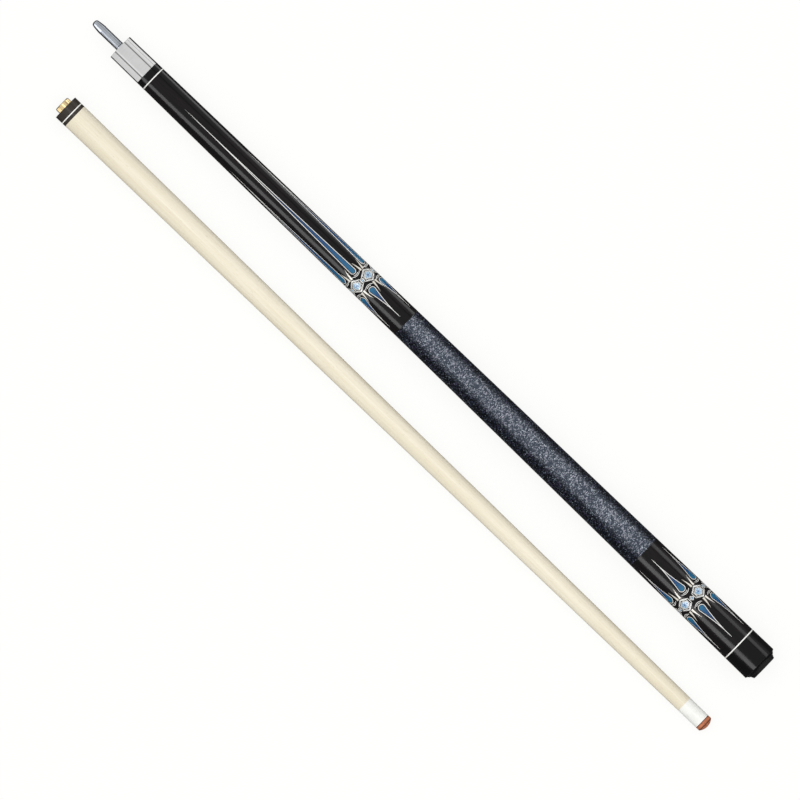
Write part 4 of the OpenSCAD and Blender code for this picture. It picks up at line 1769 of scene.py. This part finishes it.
@dataclass
class ShaftBody:
    """Maple shaft with its front tenon and the bore for the insert, white ferrule and leather tip."""

    half: Half
    tenon_front: float = 1.53
    tenon_r: float = 8.4
    bore_r: float = 5.6
    bore_end: float = 34.03
    dome_r: float = 10.6
    tip_r: float = 7.0
    tip_gap: float = 0.05
    tip_walls: tuple[float, ...] = (0.3, 0.6, 1.0, 2.4)
    # Where the dark rim of burnish and painted shade starts, fades and reaches, and how deep it goes in from
    # the side.
    burnish_and_shade_band: tuple[float, float, float] = (0.3, 0.5, 0.8)
    burnish_and_shade_width: float = 0.9

    def build(self) -> None:
        """Builds the wood, the ferrule and the tip."""
        r = self.half.radius
        a, b = self.half.reach("shaft_black_ring")[1], self.half.reach("ferrule")[0]
        profile = [(self.bore_end, 0.0), (self.bore_end, self.bore_r), (self.tenon_front, self.bore_r),
                   (self.tenon_front, self.tenon_r), (a, self.tenon_r), (a, r(a)), (b, r(b)), (b, 0.0)]
        settle(turned("shaft_wood_turned", self.half, profile, 0.06, closed=False), Finishes.MAPLE,
               "shaft", "shaft_wood")
        end = self.half.reach("ferrule")[1]
        settle(turned("ferrule_turned", self.half, [(b, 0.0), (b, r(b)), (end, r(end)), (end, 0.0)], 0.08,
                      closed=False), Finishes.FERRULE, "shaft", "ferrule")
        self.tip(end + self.tip_gap)

    def tip(self, base: float) -> None:
        """Builds the domed leather tip, with its edges marked for burnish and painted shade.

        Args:
            base: Station where it starts.
        """
        centre = self.half.reach("leather_tip")[1] - self.dome_r
        rim = math.asin(self.tip_r / self.dome_r)
        dome = [(centre + self.dome_r * math.cos(t), self.dome_r * math.sin(t))
                for t in (rim * (1 - j / 12) for j in range(13))]
        wall = [(base + d, self.tip_r) for d in self.tip_walls]
        # The dark bands at the base and the dome's rim are burnish and painted shade along the tip's outline.
        start, fade, reach = self.burnish_and_shade_band

        def burnish_and_shade(s: float, r: float) -> float:
            """How dark the leather is painted at a station and radius: burnish and painted shade at the base
            and the dome's rim.
            """
            at_base, at_rim = 1 - max(0.0, s - base - start) / fade, 1.1 - abs(s - dome[0][0]) / reach
            return max(at_base, at_rim, 0.0) if r > self.tip_r - self.burnish_and_shade_width else 0.0

        settle(turned("leather_tip_pressed", self.half, [(base, 0.0), (base, self.tip_r)] + wall + dome, 0.3,
                      closed=False, mark_at=burnish_and_shade), Finishes.TIP, "tip", "leather_tip")


# ---------------------------------------------------------------------------------------------
# Floor, light and camera
# ---------------------------------------------------------------------------------------------


@dataclass(frozen=True)
class Softbox:
    """Long softbox beside one half of the cue, seen in the gloss of the pieces with certain finishes.

    Angles are where it shows in a mirror lying along the cue: 0 overhead, growing towards -Y.
    """

    name: str
    half: Half
    stations: tuple[float, float]
    angles: tuple[float, float]
    away: float
    width: float
    level: float
    finishes: tuple[Finishes, ...]
    lights: bool = False

    def build(self) -> None:
        """Hangs the softbox and links it with its pieces."""
        ends = []
        for station, angle in zip(self.stations, self.angles):
            turn = math.radians(angle)
            ends.append(self.half.spot(station, 0.0, 0.0)
                        + Vector((0.0, -math.sin(turn), math.cos(turn))) * self.away)
        middle = (ends[0] + ends[1]) / 2
        target = (self.half.spot(self.stations[0], 0, 0) + self.half.spot(self.stations[1], 0, 0)) / 2
        along = (ends[1] - ends[0]).normalized()
        facing = (middle - target).normalized()
        side = facing.cross(along).normalized()
        lamp = bpy.data.lights.new(self.name, "AREA")
        lamp.shape, lamp.size, lamp.size_y = "RECTANGLE", (ends[1] - ends[0]).length + self.away, self.width
        lamp.energy = self.level * math.pi * lamp.size * lamp.size_y
        box = bpy.data.objects.new(self.name, lamp)
        bpy.context.scene.collection.objects.link(box)
        box.matrix_world = Matrix((along, side, along.cross(side))).transposed().to_4x4()
        box.matrix_world.translation = middle
        box.visible_diffuse = self.lights
        lamp.use_shadow = False
        names = {finish.value[1].name for finish in self.finishes}
        linked = bpy.data.collections.new("lit_by_" + self.name)
        for piece in bpy.data.objects:
            if piece.type == "MESH" and piece.active_material and piece.active_material.name in names:
                linked.objects.link(piece)
        box.light_linking.receiver_collection = linked


@dataclass
class Studio:
    """Pale floor, soft light from long softboxes along the cue, and a long-lens camera above."""

    butt: Half
    shaft: Half
    floor_size: float = 9.0
    view_width: float = 0.6482
    height: float = 12.0
    roll: float = 43.965
    aim: tuple[float, float] = (0.014, -0.018)
    gloss: tuple[tuple[float, float], ...] = (
        (-180, 0.05), (-128, 0.06), (-108, 0.12), (-98, 0.3), (-91, 0.85), (-84, 0.95), (-70, 0.85),
        (-62, 0.8), (-58, 0.2), (-52, 0.2), (-48, 0.8), (34, 0.8), (41, 0.88), (45, 1.0), (51, 1.0),
        (54, 0.3), (60, 0.3), (63, 0.2), (74, 0.1), (180, 0.05))
    ambient: float = 0.64
    overhead: float = 0.85
    overhead_spread: float = 75.0
    paper: Colour = (0.66, 0.66, 0.65, 1.0)
    paper_seen: tuple[Colour, Colour] = ((0.15, 0.15, 0.147, 1.0), (0.16, 0.16, 0.157, 1.0))
    floor_colour: Colour = (1.0, 1.0, 0.985, 1.0)
    floor_glow: float = 0.86
    far: Colour = (0.98, 0.98, 0.965, 1.0)
    sensor: float = 36.0

    def floor(self) -> None:
        """Lays the pale floor under the cue."""
        lo = CAD_BOX[0]
        mesh = bpy.data.meshes.new("floor")
        h = self.floor_size / 2
        mesh.from_pydata([(-h, -h, lo.z), (h, -h, lo.z), (h, h, lo.z), (-h, h, lo.z)], [], [(0, 1, 2, 3)])
        floor = made("floor", mesh)
        material = bpy.data.materials.new("floor_paper")
        material.use_nodes = True
        w = Wiring(material.node_tree)
        shader = material.node_tree.nodes["Principled BSDF"]
        fibre = w.add("ShaderNodeTexNoise", {"Vector": w.add("ShaderNodeTexCoord").outputs["Object"],
                                             "Scale": 60.0, "Detail": 3.0}).outputs[0]
        seen = w.blend(fibre, *self.paper_seen)
        path = w.add("ShaderNodeLightPath")
        w.tree.links.new(w.blend(path.outputs["Is Camera Ray"], self.paper, seen),
                         shader.inputs["Base Color"])
        shader.inputs["Roughness"].default_value = 1.0
        shader.inputs["Specular IOR Level"].default_value = 0.0
        shader.inputs["Emission Color"].default_value = self.floor_colour
        w.tree.links.new(w.maths("MULTIPLY", path.outputs["Is Camera Ray"], self.floor_glow),
                         shader.inputs["Emission Strength"])
        mesh.materials.append(material)
        floor.visible_glossy = False
        floor.visible_shadow = False

    def light(self) -> None:
        """Sets the soft light: what surfaces reflect, and what lights them."""
        world = bpy.data.worlds.new("studio")
        bpy.context.scene.world = world
        world.use_nodes = True
        world.cycles.sampling_method = "NONE"
        w = Wiring(world.node_tree)
        back = world.node_tree.nodes["Background"]
        way = w.add("ShaderNodeSeparateXYZ", {0: w.add("ShaderNodeTexCoord").outputs["Generated"]})
        turn = w.maths("ARCTAN2", w.maths("MULTIPLY", way.outputs[1], -1.0), way.outputs[2])
        share = w.maths("ADD", w.maths("DIVIDE", turn, 2 * math.pi), 0.5)
        top = max(v for _, v in self.gloss)
        boxes = w.steps(share, [((a + 180) / 360, (v / top, v / top, v / top, 1.0)) for a, v in self.gloss])
        lamp = w.vector("MULTIPLY", boxes, (top, top, top))
        angle = w.maths("ARCCOSINE", way.outputs[2])
        above = w.ramp(angle, math.radians(self.overhead_spread), 0.0)
        soft = w.maths("ADD", self.ambient, w.maths("MULTIPLY", above, self.overhead))
        blue = w.maths("MULTIPLY", soft, 0.995)
        level = w.add("ShaderNodeCombineXYZ", {0: soft, 1: soft, 2: blue}).outputs[0]
        path = w.add("ShaderNodeLightPath")
        lit = w.blend(path.outputs["Is Glossy Ray"], level, lamp)
        shown = w.blend(path.outputs["Is Camera Ray"], lit, self.far)
        w.tree.links.new(shown, back.inputs["Color"])

    def softboxes(self) -> Iterable[Softbox]:
        """Lists the softboxes: streaks on the lacquer, fields on the metal, a strip over the shaft.

        Returns:
            Each softbox.
        """
        glossy = (Finishes.LACQUER, Finishes.RING_GROUND, Finishes.BLACK_RESIN, Finishes.CORE, Finishes.MARK,
                  Finishes.SHELL, Finishes.VENEER, Finishes.CREAM)
        shaft = (Finishes.MAPLE, Finishes.SHAFT_RESIN, Finishes.WHITE_RESIN, Finishes.FERRULE, Finishes.TIP)
        butt = self.butt
        yield Softbox("left_streak", butt, (50.0, 707.0), (58.7, 40.4), 0.6, 0.26, 8.0, glossy)
        yield Softbox("right_streak", butt, (50.0, 707.0), (-107.0, -65.6), 0.6, 0.2, 3.6, glossy)
        yield Softbox("collar_left", butt, (0.0, 30.0), (98.0, 98.0), 0.3, 0.4, 0.72, (Finishes.COLLAR,))
        yield Softbox("collar_right", butt, (0.0, 30.0), (-112.0, -112.0), 0.3, 0.16, 0.8, (Finishes.COLLAR,))
        yield Softbox("pin_left", butt, (-30.0, 0.0), (58.0, 58.0), 0.3, 0.3, 1.7, (Finishes.PIN,))
        yield Softbox("wrap_sheen", butt, (322.0, 590.0), (-17.0, -17.0), 0.5, 1.45, 4.4, (Finishes.LINEN,))
        brass = (Finishes.BRASS,)
        yield Softbox("brass_left", self.shaft, (-8.0, 0.0), (95.0, 95.0), 0.3, 0.4, 1.1, brass)
        yield Softbox("brass_right", self.shaft, (-8.0, 0.0), (-105.0, -105.0), 0.3, 0.35, 1.1, brass)
        yield Softbox("brass_top", self.shaft, (-8.0, 0.0), (0.0, 0.0), 0.3, 0.12, 1.0, brass)
        yield Softbox("shaft_strip", self.shaft, (6.0, 716.0), (0.0, 0.0), 0.7, 0.06, 6.0, shaft, lights=True)
        for name, turn in (("shaft_left", 84.0), ("shaft_right", -84.0)):
            yield Softbox(name, self.shaft, (6.0, 716.0), (turn, turn), 0.6, 0.5, 0.3, shaft, lights=True)

    def camera(self) -> None:
        """Hangs the camera straight above the cue."""
        lo, hi = CAD_BOX
        lens = bpy.data.cameras.new("camera")
        camera = bpy.data.objects.new("camera", lens)
        bpy.context.scene.collection.objects.link(camera)
        lens.sensor_width = self.sensor
        lens.lens = self.sensor * self.height / self.view_width
        lens.clip_start, lens.clip_end = 0.1, 30.0
        middle = (lo + hi) / 2
        camera.location = (middle.x + self.aim[0], middle.y + self.aim[1], self.height + middle.z * 0.75)
        camera.rotation_euler = (0.0, 0.0, math.radians(self.roll))
        bpy.context.scene.camera = camera

    def build(self) -> None:
        """Builds floor, lights and camera."""
        self.floor()
        self.light()
        for softbox in self.softboxes():
            softbox.build()
        for piece in bpy.data.objects:
            if piece.get("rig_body") in ("shaft", "tip"):
                piece.visible_glossy = False
        self.camera()
        bpy.context.scene.view_settings.view_transform = "Standard"
        log.info("studio: floor, light and camera")


def halves(record: dict[str, Any]) -> tuple[Half, Half]:
    """Finds the centre lines of both halves from the record's mounts.

    Args:
        record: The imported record.

    Returns:
        The butt's and the shaft's half.
    """
    mounts = {m["name"]: m for m in record["mounts"]}
    pin, pilot = mounts["joint_pin"], mounts["insert_pilot"]
    butt_way, shaft_way = -Vector(pin["axis"]), -Vector(pilot["axis"])
    butt_face = Vector(pin["pos_m"]) + butt_way * (pin["dims"]["length_mm"] / 2 - SEAT_L) * MM
    shaft_face = Vector(pilot["pos_m"]) + shaft_way * (pilot["dims"]["length_mm"] / 2) * MM
    return (Half.between(butt_face, butt_way, "joint_collar", "butt_cap"),
            Half.between(shaft_face, shaft_way, "shaft_collar", "ferrule"))


def main() -> None:
    """Builds the cue piece by piece, then the studio."""
    logging.basicConfig(level=logging.INFO, format="%(name)s: %(message)s")
    butt, shaft = halves(frame["record"])
    log.info("butt %.3f %+.5f, shaft %.3f %+.5f", butt.front_r, butt.slope, shaft.front_r, shaft.slope)
    for part in (ScrewJoint(butt), Forearm(butt), DecoratedRing(butt, "upper_decor_ring"), Handle(butt),
                 Sleeve(butt), DecoratedRing(butt, "lower_decor_ring"), ButtEnd(butt), ShaftFront(shaft),
                 ShaftBody(shaft), Studio(butt, shaft)):
        part.build()
        log.info("built %s", type(part).__name__)


if __name__ == "__main__":
    main()
